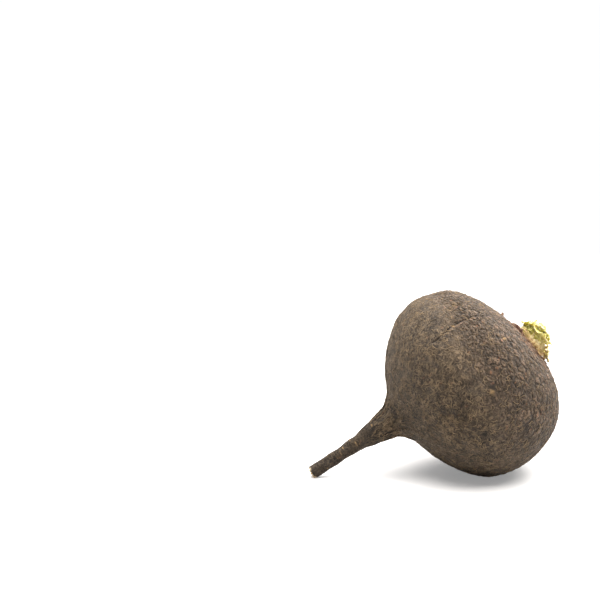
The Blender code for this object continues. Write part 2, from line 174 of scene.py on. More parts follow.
# The small leaves that crowd between the larger ones, in the same terms, and how much more curled they are
FILLING_CURL = 1.2
FILLING_LEAVES = (
    (196, 0.0076, 0.0040, 0.0012, 0.0034, 0.30, 1.0),
    (212, 0.0088, 0.0026, 0.0004, 0.0036, 0.32, 1.0),
    (232, 0.0072, 0.0034, 0.0010, 0.0034, 0.34, 1.0),
    (262, 0.0094, 0.0014, 0.0000, 0.0036, 0.34, 1.0),
    (284, 0.0080, 0.0032, 0.0010, 0.0032, 0.38, 0.7),
    (318, 0.0068, 0.0046, 0.0022, 0.0026, 0.40, 0.1),
    (338, 0.0060, 0.0056, 0.0030, 0.0024, 0.40, 0.0),
    (12, 0.0056, 0.0066, 0.0034, 0.0022, 0.42, 0.0),
    (54, 0.0074, 0.0046, 0.0016, 0.0030, 0.38, 1.0),
    (122, 0.0086, 0.0030, 0.0006, 0.0034, 0.32, 1.0),
    (148, 0.0092, 0.0020, 0.0000, 0.0036, 0.33, 1.0),
)

# The skin's zones along the axis, each from where it is faint to where it is full, before their edges are made
# wavy, then how far they wave, and the size and the bending of the cracked plates
CROWN_ZONE = (-0.009, 0.014)
RIM_ZONE = (0.016, 0.029)
NECK_ZONE = (-0.020, -0.034)
NECK_ZONE_END = (-0.056, -0.044)
TAIL_ZONE = (-0.036, -0.050)
CORK_ZONE = (0.0298, 0.0312)
ZONE_WAVES = 0.016
PLATE_SCALE = 265.0
PLATE_WARP = 0.0022

# The long crease over the shoulder: where it starts and ends along the axis and where it has bent, then its
# turn in degrees at its start and how far it bends
CREASE_FROM = -0.0115
CREASE_TO = 0.0225
CREASE_BENT_BY = 0.006
CREASE_TURN = 316.0
CREASE_DRIFT = 6.5

# The felt's strands in three sizes: where each noise is taken, its scale, the strands' width, how much of the
# skin they cover, and how strongly they show
STRANDS = (
    ((0.0, 0.0, 0.0), 270.0, 0.05, 0.50, 0.9),
    ((0.7, 0.2, 0.4), 480.0, 0.07, 0.52, 0.75),
    ((0.1, 0.9, 0.3), 900.0, 0.09, 0.55, 0.5),
)

# Where along the axis the felt fibres and the neck's fuzz start, and the tangle of curly fibres low on the
# body's side: its place, its turn in degrees, and how far its fibres scatter, in metres along and in radians
FELT_RANGE = (-0.034, 0.029)
NECK_FUZZ_RANGE = (-0.047, -0.029)
TANGLE_AT = -0.0140
TANGLE_TURN = 268.0
TANGLE_REACH = 0.0042
TANGLE_SPAN = 0.13

# The ochre scabs: place along the axis, turn in degrees, and radius
SCABS = ((0.0027, 275.0, 0.0011), (0.0012, 321.0, 0.0008), (0.0215, 300.0, 0.0010), (-0.009, 205.0, 0.0009),
         (0.010, 95.0, 0.0011), (-0.016, 40.0, 0.0010), (0.005, 150.0, 0.0009))

# The studio: the table's half side, its two greys and the glow that keeps its shadows pale, the lights'
# places, sizes and colour, the share of the sky's light on its dim side, and the backdrop's white
TABLE_HALF_SIDE = 0.75
TABLE_GREYS = ((0.60, 0.60, 0.605), (0.62, 0.62, 0.62))
TABLE_GLOW = 0.28
SOFT_BOX_AT = (0.10, 0.02, 1.00)
SOFT_BOX_SIZE = 1.50
RIM_LIGHT_AT = (0.55, 0.75, 0.55)
RIM_LIGHT_SIZE = 0.60
LIGHT_COLOUR = (1.0, 0.965, 0.93)
DIM_SIDE = 0.35
BACKDROP = 1.02


def smooth_step(x):
    x = min(max(x, 0.0), 1.0)
    return x * x * x * (10 - 15 * x + 6 * x * x)


def between(x, start, end):
    """0 before start, 1 after end, and smooth from one to the other."""
    return smooth_step((x - start) / (end - start))


def bump(x, middle, reach):
    """1 at the middle, falling smoothly to 0 at the reach on both sides."""
    return smooth_step(1 - abs(x - middle) / reach)


def spread(start, end, count):
    return [start + (end - start) * step / count for step in range(count + 1)]


def root_radius(at):
    """Radius of the root at a place along its axis, without its lumps."""
    half_length = CROWN_HALF_LENGTH if at > 0 else TAIL_HALF_LENGTH
    power = CROWN_POWER if at > 0 else TAIL_POWER
    inside = max(1 - (abs(at) / half_length) ** power, 0.0)
    body = BODY_RADIUS * inside ** (1 / power)
    taproot = TIP_RADIUS + NECK_GROWTH * between(at, NECK_FROM, NECK_TO)
    taproot += FLARE_GROWTH * between(at, FLARE_FROM, FLARE_TO)
    return (body**NECK_BLEND + taproot**NECK_BLEND) ** (1 / NECK_BLEND)


def crown_height(out):
    """Place along the axis of the crown's surface, this far out: the plate, its rim and the shoulder."""
    inside = max(1 - (out / BODY_RADIUS) ** CROWN_POWER, 0.0)
    shoulder = CROWN_HALF_LENGTH * inside ** (1 / CROWN_POWER)
    plate = PLATE_AT + RIM_HEIGHT * bump(out, RIM_AT, RIM_REACH)
    both = math.exp(-shoulder / PLATE_SOFTNESS) + math.exp(-plate / PLATE_SOFTNESS)
    return -PLATE_SOFTNESS * math.log(both)


def axis_pitch(at):
    turn = NECK_TURN * between(at, NECK_TURN_FROM, NECK_TURN_TO)
    turn += CROWN_TURN * between(at, CROWN_TURN_FROM, CROWN_TURN_TO)
    return math.radians(TAPROOT_PITCH + turn)


def axis_line():
    """Points of the bent axis, a small step apart, each with its place along the axis."""
    line = {0: MIDDLE.copy()}
    for way, end in ((1, 0.05), (-1, -0.09)):
        point = MIDDLE.copy()
        for count in range(1, round(abs(end) / LINE_STEP) + 1):
            pitch = axis_pitch(way * (count - 0.5) * LINE_STEP)
            point = point + way * LINE_STEP * Vector((math.cos(pitch), 0, math.sin(pitch)))
            line[way * count] = point
    return line


AXIS = axis_line()


def axis_point(at):
    step = math.floor(at / LINE_STEP)
    return AXIS[step].lerp(AXIS[step + 1], at / LINE_STEP - step)


def place(at, out, turn):
    """The point this far out from the axis, turned round it from its upper side."""
    pitch = axis_pitch(at)
    upper = Vector((-math.sin(pitch), 0, math.cos(pitch)))
    return axis_point(at) + out * (math.cos(turn) * upper + math.sin(turn) * Vector((0, 1, 0)))


def crown_point(out, turn):
    return place(crown_height(out), out, turn)


def crown_normal(out, turn):
    step = 0.0002
    outwards = crown_point(out + step, turn) - crown_point(out - step, turn)
    around = crown_point(out, turn + step / out) - crown_point(out, turn - step / out)
    return around.cross(outwards).normalized()


def crown_frame():
    """Turns the tuft's own frame to the crown: its Z out of the plate, its X down the slope, its Y across."""
    pitch = axis_pitch(PLATE_AT)
    out = Vector((math.cos(pitch), 0, math.sin(pitch)))
    down = Vector((math.sin(pitch), 0, -math.cos(pitch)))
    turned = Matrix((down, Vector((0, 1, 0)), out)).transposed().to_4x4()
    return Matrix.Translation(axis_point(PLATE_AT)) @ turned


def on_crown(mesh):
    """Moves a mesh made in the tuft's own frame to its place on the crown."""
    mesh.transform(crown_frame())
    return mesh


def polar(out, turn, height):
    return Vector((out * math.cos(turn), out * math.sin(turn), height))


def swelling(at, turn):
    """How far the surface stands off a true round: lumps, neck folds, knobs, and the upper side's rises."""
    lumps = math.sin(2 * turn + 90 * at + 0.4) + 0.6 * math.sin(3 * turn - 140 * at + 1.9)
    lumps += 0.35 * math.sin(7 * turn + 1.3) * math.sin(310 * at)
    folds = math.sin(9 * turn + 2.2 * math.sin(2 * turn)) * bump(at, FOLDS_AT, FOLDS_REACH)
    knobs = math.sin(2 * turn + 700 * at) * bump(at, KNOBS_AT, KNOBS_REACH)
    rises = sum(height * bump(at, middle, reach) for middle, reach, height in UPPER_RISES)
    rises *= between(math.cos(turn), -0.2, 1.0)
    return LUMP_HEIGHT * lumps * bump(at, 0.0, 0.036) + FOLD_HEIGHT * folds + KNOB_HEIGHT * knobs + rises


def crown_relief(out, turn):
    """Height of the corky ledges round the plate."""
    waver = 0.0007 * math.sin(2 * turn + 0.8) + 0.0005 * math.sin(5 * turn + 2.1)
    zone = between(out, WELL_RADIUS, WELL_RADIUS + 0.002)
    zone *= 1 - between(out, CORK_RADIUS - 0.004, CORK_RADIUS)
    phase = (out + waver) / LEDGE_PITCH % 1.0
    return LEDGE_HEIGHT * zone * (2 * abs(phase - 0.5) - 0.5)


class Shop:
    """Adds nodes to one node tree and wires them."""

    def __init__(self, tree):
        self.tree = tree

    def feed(self, socket, value):
        if isinstance(value, bpy.types.NodeSocket):
            self.tree.links.new(value, socket)
        else:
            socket.default_value = value

    def add(self, kind, inputs=None, **settings):
        node = self.tree.nodes.new(kind)
        for name, value in settings.items():
            setattr(node, name, value)
        for socket, value in (inputs or {}).items():
            self.feed(node.inputs[socket], value)
        return node

    def math(self, operation, *values):
        return self.add("ShaderNodeMath", dict(enumerate(values)), operation=operation).outputs[0]

    def vector(self, operation, *values):
        return self.add("ShaderNodeVectorMath", dict(enumerate(values)), operation=operation).outputs[0]

    def here(self):
        return self.add("ShaderNodeTexCoord").outputs["Object"]

    def seen(self):
        """1 for what the camera sees straight, 0 for what lights the rest."""
        return self.add("ShaderNodeLightPath").outputs["Is Camera Ray"]

    def attribute(self, name, output="Fac"):
        return self.add("ShaderNodeAttribute", attribute_name=name).outputs[output]

    def parts(self, vector):
        return self.add("ShaderNodeSeparateXYZ", {0: vector}).outputs

    def mix(self, share, first, second):
        """The first colour where the share is 0, the second where it is 1."""
        ends = [end if isinstance(end, bpy.types.NodeSocket) else (*end, 1.0) for end in (first, second)]
        return self.add("ShaderNodeMix", {0: share, 6: ends[0], 7: ends[1]}, data_type="RGBA").outputs[2]

    def ramp(self, value, start, end, low=0.0, high=1.0):
        """low where the value is at start, high where it is at end, and smooth from one to the other."""
        inputs = {"Value": value, "From Min": start, "From Max": end, "To Min": low, "To Max": high}
        return self.add("ShaderNodeMapRange", inputs, interpolation_type="SMOOTHSTEP").outputs["Result"]

    def noise(self, vector, scale, detail=2.0, roughness=0.5, distortion=0.0, output="Fac"):
        inputs = {"Vector": vector, "Scale": scale, "Detail": detail, "Roughness": roughness,
                  "Distortion": distortion}
        return self.add("ShaderNodeTexNoise", inputs).outputs[output]

    def cells(self, vector, scale, feature="F1"):
        return self.add("ShaderNodeTexVoronoi", {"Vector": vector, "Scale": scale}, feature=feature).outputs

    def cell_tone(self, cells, channel):
        """A number that is the same all over a cell, from its random colour."""
        return self.add("ShaderNodeSeparateColor", {0: cells["Color"]}).outputs[channel]

    def use(self, name, *values):
        """The mask of a shared effect, its inputs given in the order in which the group has them."""
        node = self.add("ShaderNodeGroup", node_tree=bpy.data.node_groups.get(name) or EFFECTS[name]())
        for socket, value in zip(node.inputs, values):
            self.feed(socket, value)
        return node.outputs[0]

    def product(self, *values):
        return reduce(lambda first, second: self.math("MULTIPLY", first, second), values)

    def total(self, *values):
        return reduce(lambda first, second: self.math("ADD", first, second), values)

    def largest(self, *values):
        return reduce(lambda first, second: self.math("MAXIMUM", first, second), values)

    def less(self, first, second):
        return self.math("SUBTRACT", first, second)

    def surface(self, colour, roughness, gloss, height=None, depth=0.0003, strength=0.8):
        """Sets the shader's colour, roughness, gloss and relief, and returns its inputs."""
        shader = self.tree.nodes["Principled BSDF"].inputs
        self.feed(shader["Base Color"], colour)
        self.feed(shader["Roughness"], roughness)
        shader["Specular IOR Level"].default_value = gloss
        if height is not None:
            bumps = self.add("ShaderNodeBump", {"Strength": strength, "Distance": depth, "Height": height})
            self.feed(shader["Normal"], bumps.outputs["Normal"])
        return shader


def shader_group(name, inputs, output):
    """A new node group with float inputs beside its vector, and one output."""
    group = bpy.data.node_groups.new(name, "ShaderNodeTree")
    group.interface.new_socket("Vector", in_out="INPUT", socket_type="NodeSocketVector")
    for socket_name, default in inputs.items():
        socket = group.interface.new_socket(socket_name, in_out="INPUT", socket_type="NodeSocketFloat")
        socket.default_value = default
    group.interface.new_socket(output, in_out="OUTPUT", socket_type="NodeSocketFloat")
    shop = Shop(group)
    return group, shop, shop.add("NodeGroupInput").outputs, shop.add("NodeGroupOutput").inputs[0]


def curly_fibres_group():
    """Thin curly strands, as in felt: the level lines of a bent noise, broken up by a broader one."""
    inputs = {"Scale": 500.0, "Width": 0.03, "Cover": 0.5}
    group, shop, given, result = shader_group("Curly Fibres", inputs, "Mask")
    field = shop.noise(given["Vector"], given["Scale"], 1.0, 0.5, 1.4)
    off_line = shop.math("ABSOLUTE", shop.less(field, 0.5))
    line = shop.less(1.0, shop.math("DIVIDE", off_line, given["Width"]))
    aside = shop.vector("ADD", given["Vector"], (3.1, 7.7, 1.9))
    breaks = shop.noise(aside, shop.product(given["Scale"], 0.8), 2.0, 0.6)
    level = shop.less(1.0, given["Cover"])
    kept = shop.product(shop.less(breaks, shop.product(level, 0.9)), 9.0)
    shop.feed(result, shop.product(shop.ramp(line, 0.0, 0.8), shop.ramp(kept, 0.0, 1.0)))
    return group


def blotches_group():
    """Soft irregular patches."""
    inputs = {"Scale": 100.0, "Softness": 0.1, "Level": 0.5}
    group, shop, given, result = shader_group("Blotches", inputs, "Mask")
    field = shop.noise(given["Vector"], given["Scale"], 4.0, 0.6, 0.4)
    above = shop.math("DIVIDE", shop.less(field, given["Level"]), given["Softness"])
    shop.feed(result, shop.ramp(above, -1.0, 1.0))
    return group


def streaks_group():
    """Fine streaks along the vector's Z, for fibrous and straw-like surfaces."""
    group, shop, given, result = shader_group("Streaks", {"Scale": 1500.0, "Stretch": 0.08}, "Mask")
    across = shop.add("ShaderNodeCombineXYZ", {"X": 1.0, "Y": 1.0, "Z": given["Stretch"]}).outputs["Vector"]
    stretched = shop.vector("MULTIPLY", given["Vector"], across)
    shop.feed(result, shop.noise(stretched, given["Scale"], 3.0, 0.6, 0.3))
    return group


EFFECTS = {"Curly Fibres": curly_fibres_group, "Blotches": blotches_group, "Streaks": streaks_group}


def new_material(name):
    """A material, a shop for its nodes, and the place that its patterns are drawn on."""
    material = bpy.data.materials.new(name)
    material.use_nodes = True
    shop = Shop(material.node_tree)
    return material, shop, shop.here()


def skin_material(finish):
    """Black felt-like skin: cracked plates near the crown, curly tan fibres, and a pale cut at the tip."""
    material, shop, here = new_material("radish_skin")
    straight = shop.attribute("straight", "Vector")
    scab = shop.attribute("scab")
    unbent = shop.parts(straight)
    at = unbent["Z"]

    middle = shop.ramp(at, CREASE_FROM, CREASE_BENT_BY, math.radians(CREASE_TURN - 360),
                       math.radians(CREASE_TURN + CREASE_DRIFT - 360))
    turn = shop.math("ARCTAN2", unbent["Y"], unbent["X"])
    wobble = shop.product(shop.less(shop.noise(here, 230.0, 3.0), 0.5), 0.05)
    aside = shop.total(shop.less(turn, middle), wobble)
    on_crease = shop.product(shop.ramp(at, CREASE_FROM - 0.001, CREASE_FROM + 0.002),
                             shop.ramp(at, CREASE_TO + 0.001, CREASE_TO - 0.004))
    # Painted shade: a dark line along the crease, darkened together with the cracks
    crease = shop.product(on_crease, shop.ramp(shop.math("ABSOLUTE", aside), 0.0125, 0.004))
    # Painted highlight: a pale band along the crease's lower lip
    crease_highlight = shop.ramp(shop.math("ABSOLUTE", shop.total(aside, 0.019)), 0.011, 0.003)
    crease_highlight = shop.product(crease_highlight, on_crease, shop.ramp(at, -0.002, 0.006))

    drift = shop.product(shop.noise(here, 90.0, 3.0), ZONE_WAVES)
    wavy_at = shop.less(shop.total(at, drift), ZONE_WAVES / 2)
    crown_band = shop.ramp(wavy_at, *CROWN_ZONE)
    near_rim = shop.ramp(wavy_at, *RIM_ZONE)
    neck = shop.product(shop.ramp(wavy_at, *NECK_ZONE), shop.ramp(wavy_at, *NECK_ZONE_END))
    tail = shop.ramp(wavy_at, *TAIL_ZONE)
    cork = shop.ramp(wavy_at, *CORK_ZONE)
    cut = shop.ramp(wavy_at, TIP_AT + 0.0004, TIP_AT - 0.0001)

    warp = shop.vector("MULTIPLY", shop.noise(here, 420.0, output="Color"), 3 * (PLATE_WARP,))
    plate_place = shop.vector("MULTIPLY", shop.vector("ADD", straight, warp), (1.0, 1.0, 1.35))
    edges = shop.cells(plate_place, PLATE_SCALE, "DISTANCE_TO_EDGE")["Distance"]
    fine_edges = shop.cells(plate_place, 640.0, "DISTANCE_TO_EDGE")["Distance"]
    plate_tone = shop.cell_tone(shop.cells(plate_place, PLATE_SCALE), 0)
    grains = shop.cells(shop.vector("ADD", plate_place, warp), 760.0)
    grain_tops = shop.product(shop.ramp(grains["Distance"], 0.74, 0.30),
                              shop.ramp(shop.cell_tone(grains, 0), 0.1, 0.9, 0.30, 1.0))
    # Painted shade: the cracks between the plates are darkened towards near black
    gaps = shop.largest(shop.ramp(edges, 0.20, 0.04), shop.ramp(fine_edges, 0.16, 0.03, 0.0, 0.7))
    gaps = shop.product(gaps, crown_band, shop.use("Blotches", here, 260.0, 0.12, 0.44))
    gaps = shop.largest(gaps, crease)

    strands = []
    for apart, scale, width, cover, share in STRANDS:
        strand = shop.use("Curly Fibres", shop.vector("ADD", here, apart), scale, width, cover)
        strands.append(shop.product(strand, share))
    strands = shop.largest(*strands)
    meridian = shop.vector("MULTIPLY", straight, (1.0, 1.0, 0.12))
    hairs = shop.product(shop.ramp(shop.noise(meridian, 1500.0, 2.0, 0.6, 0.5), 0.52, 0.66), neck)
    # Painted shade: dark streaks down the neck's folds, where its hollow lies in shade
    folds = shop.product(shop.ramp(shop.noise(meridian, 330.0, 2.0, 0.6, 0.3), 0.52, 0.40), neck)
    speckle = shop.noise(here, 2600.0, 3.0, 0.7)
    flecks = shop.cells(shop.vector("ADD", here, warp), 520.0)
    fleck_share = shop.product(shop.ramp(shop.cell_tone(flecks, 1), 0.84, 0.90),
                               shop.ramp(flecks["Distance"], 0.42, 0.15))
    dashes = shop.cells(shop.vector("MULTIPLY", straight, (0.45, 0.45, 1.6)), 420.0)["Distance"]
    lenticels = shop.product(shop.ramp(dashes, 0.30, 0.16), shop.ramp(tail, 0.0, 1.0, 0.08, 0.8),
                             shop.use("Blotches", here, 400.0, 0.1, 0.5))

    colour = shop.mix(shop.use("Blotches", here, 95.0, 0.16, 0.5), finish.skin_ground, finish.skin_brown)
    greys = shop.use("Blotches", shop.vector("ADD", here, (0.5, 0.5, 0.1)), 150.0, 0.1, 0.56)
    plate_share = shop.product(grain_tops, shop.ramp(plate_tone, 0.1, 0.9, 0.65, 1.0))
    top_tan = shop.mix(near_rim, finish.plate_tan, finish.rim_tan)
    plate_colour = shop.mix(plate_share, finish.skin_brown, top_tan)
    corky = shop.mix(shop.use("Blotches", here, 500.0, 0.14, 0.5), finish.cork_brown, finish.rim_tan)
    strand_share = shop.product(strands, shop.ramp(crown_band, 0.0, 1.0, 0.46, 0.12),
                                shop.ramp(tail, 0.0, 1.0, 1.0, 0.4))
    for share, layer in (
        (shop.product(greys, 0.6), finish.skin_grey),
        (shop.product(crown_band, 0.9), plate_colour),
        (shop.ramp(speckle, 0.4, 0.7, 0.0, 0.5), finish.skin_ground),
        (shop.product(fleck_share, shop.ramp(crown_band, 0.0, 1.0, 0.25, 0.75)), finish.rust),
        (strand_share, finish.fibre_tan),
        # painted shade in the neck's folds
        (shop.product(folds, 0.95), finish.gap_shade),
        (shop.product(hairs, 0.5), finish.fibre_tan),
        # painted highlight along the crease's lower lip
        (shop.product(crease_highlight, 0.6), finish.rim_tan),
        # painted shade in the cracks and along the crease
        (shop.product(gaps, 0.85), finish.gap_shade),
        (lenticels, finish.scab_ochre),
        (shop.product(cork, 0.7), corky),
        (shop.product(scab, 0.8), finish.scab_ochre),
        (cut, finish.cut_cream),
    ):
        colour = shop.mix(share, colour, layer)

    relief = shop.total(
        shop.product(shop.ramp(edges, 0.0, 0.26), crown_band, shop.ramp(plate_tone, 0.0, 1.0, 0.6, 1.1)),
        shop.product(shop.ramp(fine_edges, 0.0, 0.2), crown_band, 0.22),
        shop.product(strands, shop.ramp(crown_band, 0.0, 1.0, 0.28, 0.04)),
        shop.product(grain_tops, crown_band, 0.35),
        shop.product(hairs, 0.35),
        shop.product(speckle, 0.30),
        shop.product(lenticels, 0.25),
        shop.product(crease, -0.8),
        shop.product(cork, shop.noise(here, 900.0, 3.0), 0.8),
    )
    shader = shop.surface(colour, shop.ramp(strands, 0.0, 1.0, 0.82, 0.70), 0.25, relief, 0.0009, 1.0)
    shader["Sheen Weight"].default_value = 0.09
    shader["Sheen Roughness"].default_value = 0.45
    shader["Sheen Tint"].default_value = (0.95, 0.80, 0.64, 1.0)
    return material


def cork_material(finish):
    """Dry cork of the flakes and scars: each flake its own tone, darker where it is sunk."""
    material, shop, here = new_material("crown_cork")
    tone = shop.attribute("tone")
    height = shop.attribute("height")
    varied = shop.use("Blotches", here, 260.0, 0.14, 0.5)
    tips = shop.ramp(height, 0.35, 1.0, 0.0, 0.55)
    share = shop.total(shop.product(tone, 0.6), shop.product(varied, 0.25), tips)
    colour = shop.mix(share, finish.cork_brown, finish.cork_pale)
    dark = shop.use("Blotches", here, 700.0, 0.12, 0.54)
    colour = shop.mix(shop.product(dark, 0.5), colour, finish.cork_brown)
    colour = shop.mix(shop.ramp(height, 0.30, 0.0, 0.0, 0.6), colour, finish.skin_ground)
    grain = shop.noise(here, 1900.0, 4.0, 0.65)
    shop.surface(colour, shop.ramp(grain, 0.3, 0.7, 0.7, 0.9), 0.25, grain)
    return material


def lip_material(finish):
    """Torn skin at the plate's edge: dark red, partly painted shade on its wall, with a pale tan top."""
    material, shop, here = new_material("torn_lip")
    height = shop.attribute("height")
    corky = shop.attribute("tone")
    grain = shop.noise(here, 900.0, 3.0, 0.6)
    # The dark red is partly the skin's own and partly painted shade on the lip's wall
    red = shop.mix(shop.ramp(grain, 0.4, 0.6), finish.shaded_maroon, finish.cork_brown)
    low = shop.mix(corky, red, finish.cork_pale)
    high = shop.mix(corky, finish.cork_pale, finish.skin_brown)
    uneven = shop.total(height, shop.product(shop.less(grain, 0.5), 0.8))
    colour = shop.mix(shop.ramp(uneven, 0.70, 0.98), low, high)
    shop.surface(colour, shop.ramp(grain, 0.3, 0.7, 0.6, 0.85), 0.3, grain)
    return material


def straw_material(finish):
    """Papery dry leaf bases: straw with brown streaks, dark where they are sunk or torn."""
    material, shop, here = new_material("dry_straw")
    grown = shop.attribute("grown", "Vector")
    height = shop.attribute("height")
    lines = shop.use("Streaks", grown, 2600.0, 0.10)
    patches = shop.use("Blotches", here, 420.0, 0.14, 0.52)
    colour = shop.mix(shop.ramp(lines, 0.35, 0.65), finish.straw_brown, finish.straw)
    colour = shop.mix(shop.product(patches, 0.55), colour, finish.straw_brown)
    colour = shop.mix(shop.ramp(height, 0.5, 0.0, 0.0, 0.75), colour, finish.cork_brown)
    shop.surface(colour, shop.ramp(lines, 0.3, 0.7, 0.62, 0.8), 0.35, lines, 0.00025)
    return material


def leaf_material(finish):
    """Young leaf: pale straw-green stalk and veins, lime blade, darker green towards its frilled edge."""
    material, shop, here = new_material("young_leaf")
    blade, edge, vein = shop.parts(shop.attribute("leaf", "Vector"))
    patches = shop.use("Blotches", here, 330.0, 0.16, 0.5)
    lime = shop.mix(patches, finish.leaf_lime, finish.leaf_yellow)
    green_share = shop.product(shop.ramp(edge, 0.35, 1.0), shop.ramp(patches, 0.0, 1.0, 0.9, 0.45))
    green = shop.mix(green_share, lime, finish.leaf_green)
    stalk = shop.mix(shop.ramp(patches, 0.0, 1.0, 0.0, 0.5), finish.petiole, finish.leaf_yellow)
    colour = shop.mix(shop.ramp(blade, 0.0, 0.9), stalk, green)
    colour = shop.mix(shop.product(vein, 0.6), colour, finish.petiole)
    fleck = shop.ramp(shop.noise(here, 1500.0, 2.0), 0.62, 0.72)
    colour = shop.mix(shop.product(fleck, 0.4), colour, finish.leaf_green)
    crumple = shop.total(shop.noise(here, 1400.0, 3.0), shop.product(vein, 0.5))
    shader = shop.surface(colour, shop.ramp(patches, 0.0, 1.0, 0.45, 0.6), 0.25, crumple, 0.0002, 0.7)
    shader["Subsurface Weight"].default_value = 0.5
    shader["Subsurface Radius"].default_value = (0.8, 0.8, 0.4)
    shader["Subsurface Scale"].default_value = 0.0014
    return material


def thread_material(name, dark, light):
    """Dry thread: its tone changes along and between the threads."""
    material, shop, here = new_material(name)
    tone = shop.noise(here, 260.0, 3.0, 0.6)
    colour = shop.mix(shop.ramp(tone, 0.38, 0.62), dark, light)
    shop.surface(colour, shop.ramp(tone, 0.3, 0.7, 0.65, 0.85), 0.3)
    return material


def floor_material():
    """Smooth white table top, a little glossy, with the faintest unevenness."""
    material, shop, here = new_material("white_table")
    cloud = shop.noise(here, 6.0, 2.0)
    shader = shop.surface(shop.mix(cloud, *TABLE_GREYS), shop.ramp(cloud, 0.3, 0.7, 0.30, 0.34), 0.35)
    shader["Emission Color"].default_value = (1.0, 1.0, 1.0, 1.0)
    shop.feed(shader["Emission Strength"], shop.product(shop.seen(), TABLE_GLOW))
    return material


def finished(mesh, name, material, slot, *nodes):
    """The object of a mesh, riding on the root, and the CAD nodes that it stands for. Its slot is not used."""
    data = bpy.data.meshes.new(name)
    mesh.to_mesh(data)
    mesh.free()
    data.materials.append(material)
    data.shade_smooth()
    piece = bpy.data.objects.new(name, data)
    bpy.context.scene.collection.objects.link(piece)
    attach(piece, "root")
    if nodes:
        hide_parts(*nodes)
    return piece


def marked_mesh(*numbers, vectors=()):
    """An empty mesh, and the layers in which its points carry what its material reads."""
    mesh = bmesh.new()
    layers = mesh.verts.layers
    return mesh, *map(layers.float.new, numbers), *map(layers.float_vector.new, vectors)


def turned(mesh, outline, steps, closed=False):
    """Turns an outline of (out, height) points round the Z axis."""
    points = [mesh.verts.new((out, 0, height)) for out, height in outline]
    pairs = zip(points[-1:] + points[:-1], points) if closed else zip(points[:-1], points[1:])
    edges = [mesh.edges.new(pair) for pair in pairs]
    bmesh.ops.spin(mesh, geom=points + edges, cent=(0, 0, 0), axis=(0, 0, 1), dvec=(0, 0, 0),
                   angle=2 * math.pi, steps=steps, use_merge=True)


def outwards(mesh):
    """Turns every face of a closed mesh outwards."""
    mesh.normal_update()
    bmesh.ops.recalc_face_normals(mesh, faces=mesh.faces)
    return mesh


def thickened(sheet, thickness):
    """Makes a closed body of a sheet."""
    bmesh.ops.solidify(sheet, geom=sheet.faces[:], thickness=thickness)
    return outwards(sheet)


def random_way(draw):
    """A vector that points any way, drawn along X, then Y, then Z."""
    return Vector((draw.uniform(-1, 1), draw.uniform(-1, 1), draw.uniform(-1, 1)))


def append(target, piece):
    """Adds a small mesh to the target, and frees it."""
    scrap = bpy.data.meshes.new("scrap")
    piece.to_mesh(scrap)
    piece.free()
    target.from_mesh(scrap)
    bpy.data.meshes.remove(scrap)


def above_table(mesh, level=0.0):
    """Presses whatever would reach under the table top flat against it."""
    for vert in mesh.verts:
        vert.co.z = max(vert.co.z, level)


def loft(mesh, rings, layer=None, marks=None):
    """Skins rings of equal count into one closed body: its end face is extruded from ring to ring."""
    face = mesh.faces.new([mesh.verts.new(point) for point in rings[0]])
    made = [face]
    if layer is not None:
        for vert, mark in zip(face.verts, marks[0]):
            vert[layer] = mark
    for count, ring in enumerate(rings[1:]):
        grown = bmesh.ops.extrude_face_region(mesh, geom=[face])["geom"]
        end = next(item for item in grown if isinstance(item, bmesh.types.BMFace))
        for place_in_ring, (vert, point) in enumerate(zip(end.verts, ring)):
            vert.co = point
            if layer is not None:
                vert[layer] = marks[count + 1][place_in_ring]
        if count:
            mesh.faces.remove(face)
            made.pop()
        made += [edge_face for edge in end.edges for edge_face in edge.link_faces if edge_face is not end]
        face = end
        made.append(face)
    mesh.normal_update()
    bmesh.ops.recalc_face_normals(mesh, faces=made)


def skin_outline():
    """(out, along) down the root's side, from the middle of the well to the middle of the cut tip."""
    floor = PLATE_AT - WELL_DEPTH
    outline = [(WELL_RADIUS * share, floor) for share in spread(0, 1, 8)]
    outline.append((WELL_RADIUS + 0.0002, crown_height(WELL_RADIUS)))
    outline += [(out, crown_height(out)) for out in spread(WELL_RADIUS + 0.0005, CORK_RADIUS, 56)]
    shoulder = math.asin(CORK_RADIUS / BODY_RADIUS)
    for angle in spread(shoulder, math.pi / 2, 88)[1:-1]:
        out = BODY_RADIUS * math.sin(angle)
        outline.append((out, crown_height(out)))
    below = [-TAIL_HALF_LENGTH * math.sin(angle) for angle in spread(0, math.radians(74), 84)]
    below += spread(-TAIL_HALF_LENGTH * 0.975, TIP_AT, 84)
    outline += [(root_radius(at), at) for at in below]
    outline += [(TIP_RADIUS * share, TIP_AT - 0.0004) for share in (0.86, 0.6, 0.3)]
    outline.append((0.0, TIP_AT - 0.0003))
    return outline


def crease_depth(at, turn):
    """1 along the middle of the long crease over the shoulder, 0 away from it."""
    if not CREASE_FROM < at < CREASE_TO:
        return 0.0
    middle = CREASE_TURN + CREASE_DRIFT * between(at, CREASE_FROM, CREASE_BENT_BY)
    aside = math.remainder(turn - math.radians(middle), 2 * math.pi) * root_radius(at)
    strength = 1 - 0.5 * between(at, 0.001, 0.009)
    ends = between(at, CREASE_FROM, CREASE_FROM + 0.003) * (1 - between(at, CREASE_TO - 0.006, CREASE_TO))
    return strength * ends * math.exp(-((aside / 0.00055) ** 2))


def scab_share(at, turn):
    """1 on an ochre scab, 0 off it."""
    share = 0.0
    for scab_at, scab_turn, radius in SCABS:
        aside = math.remainder(turn - math.radians(scab_turn), 2 * math.pi) * BODY_RADIUS
        share = max(share, 1 - between(math.hypot(at - scab_at, aside) / radius, 0.5, 1.2))
    return share


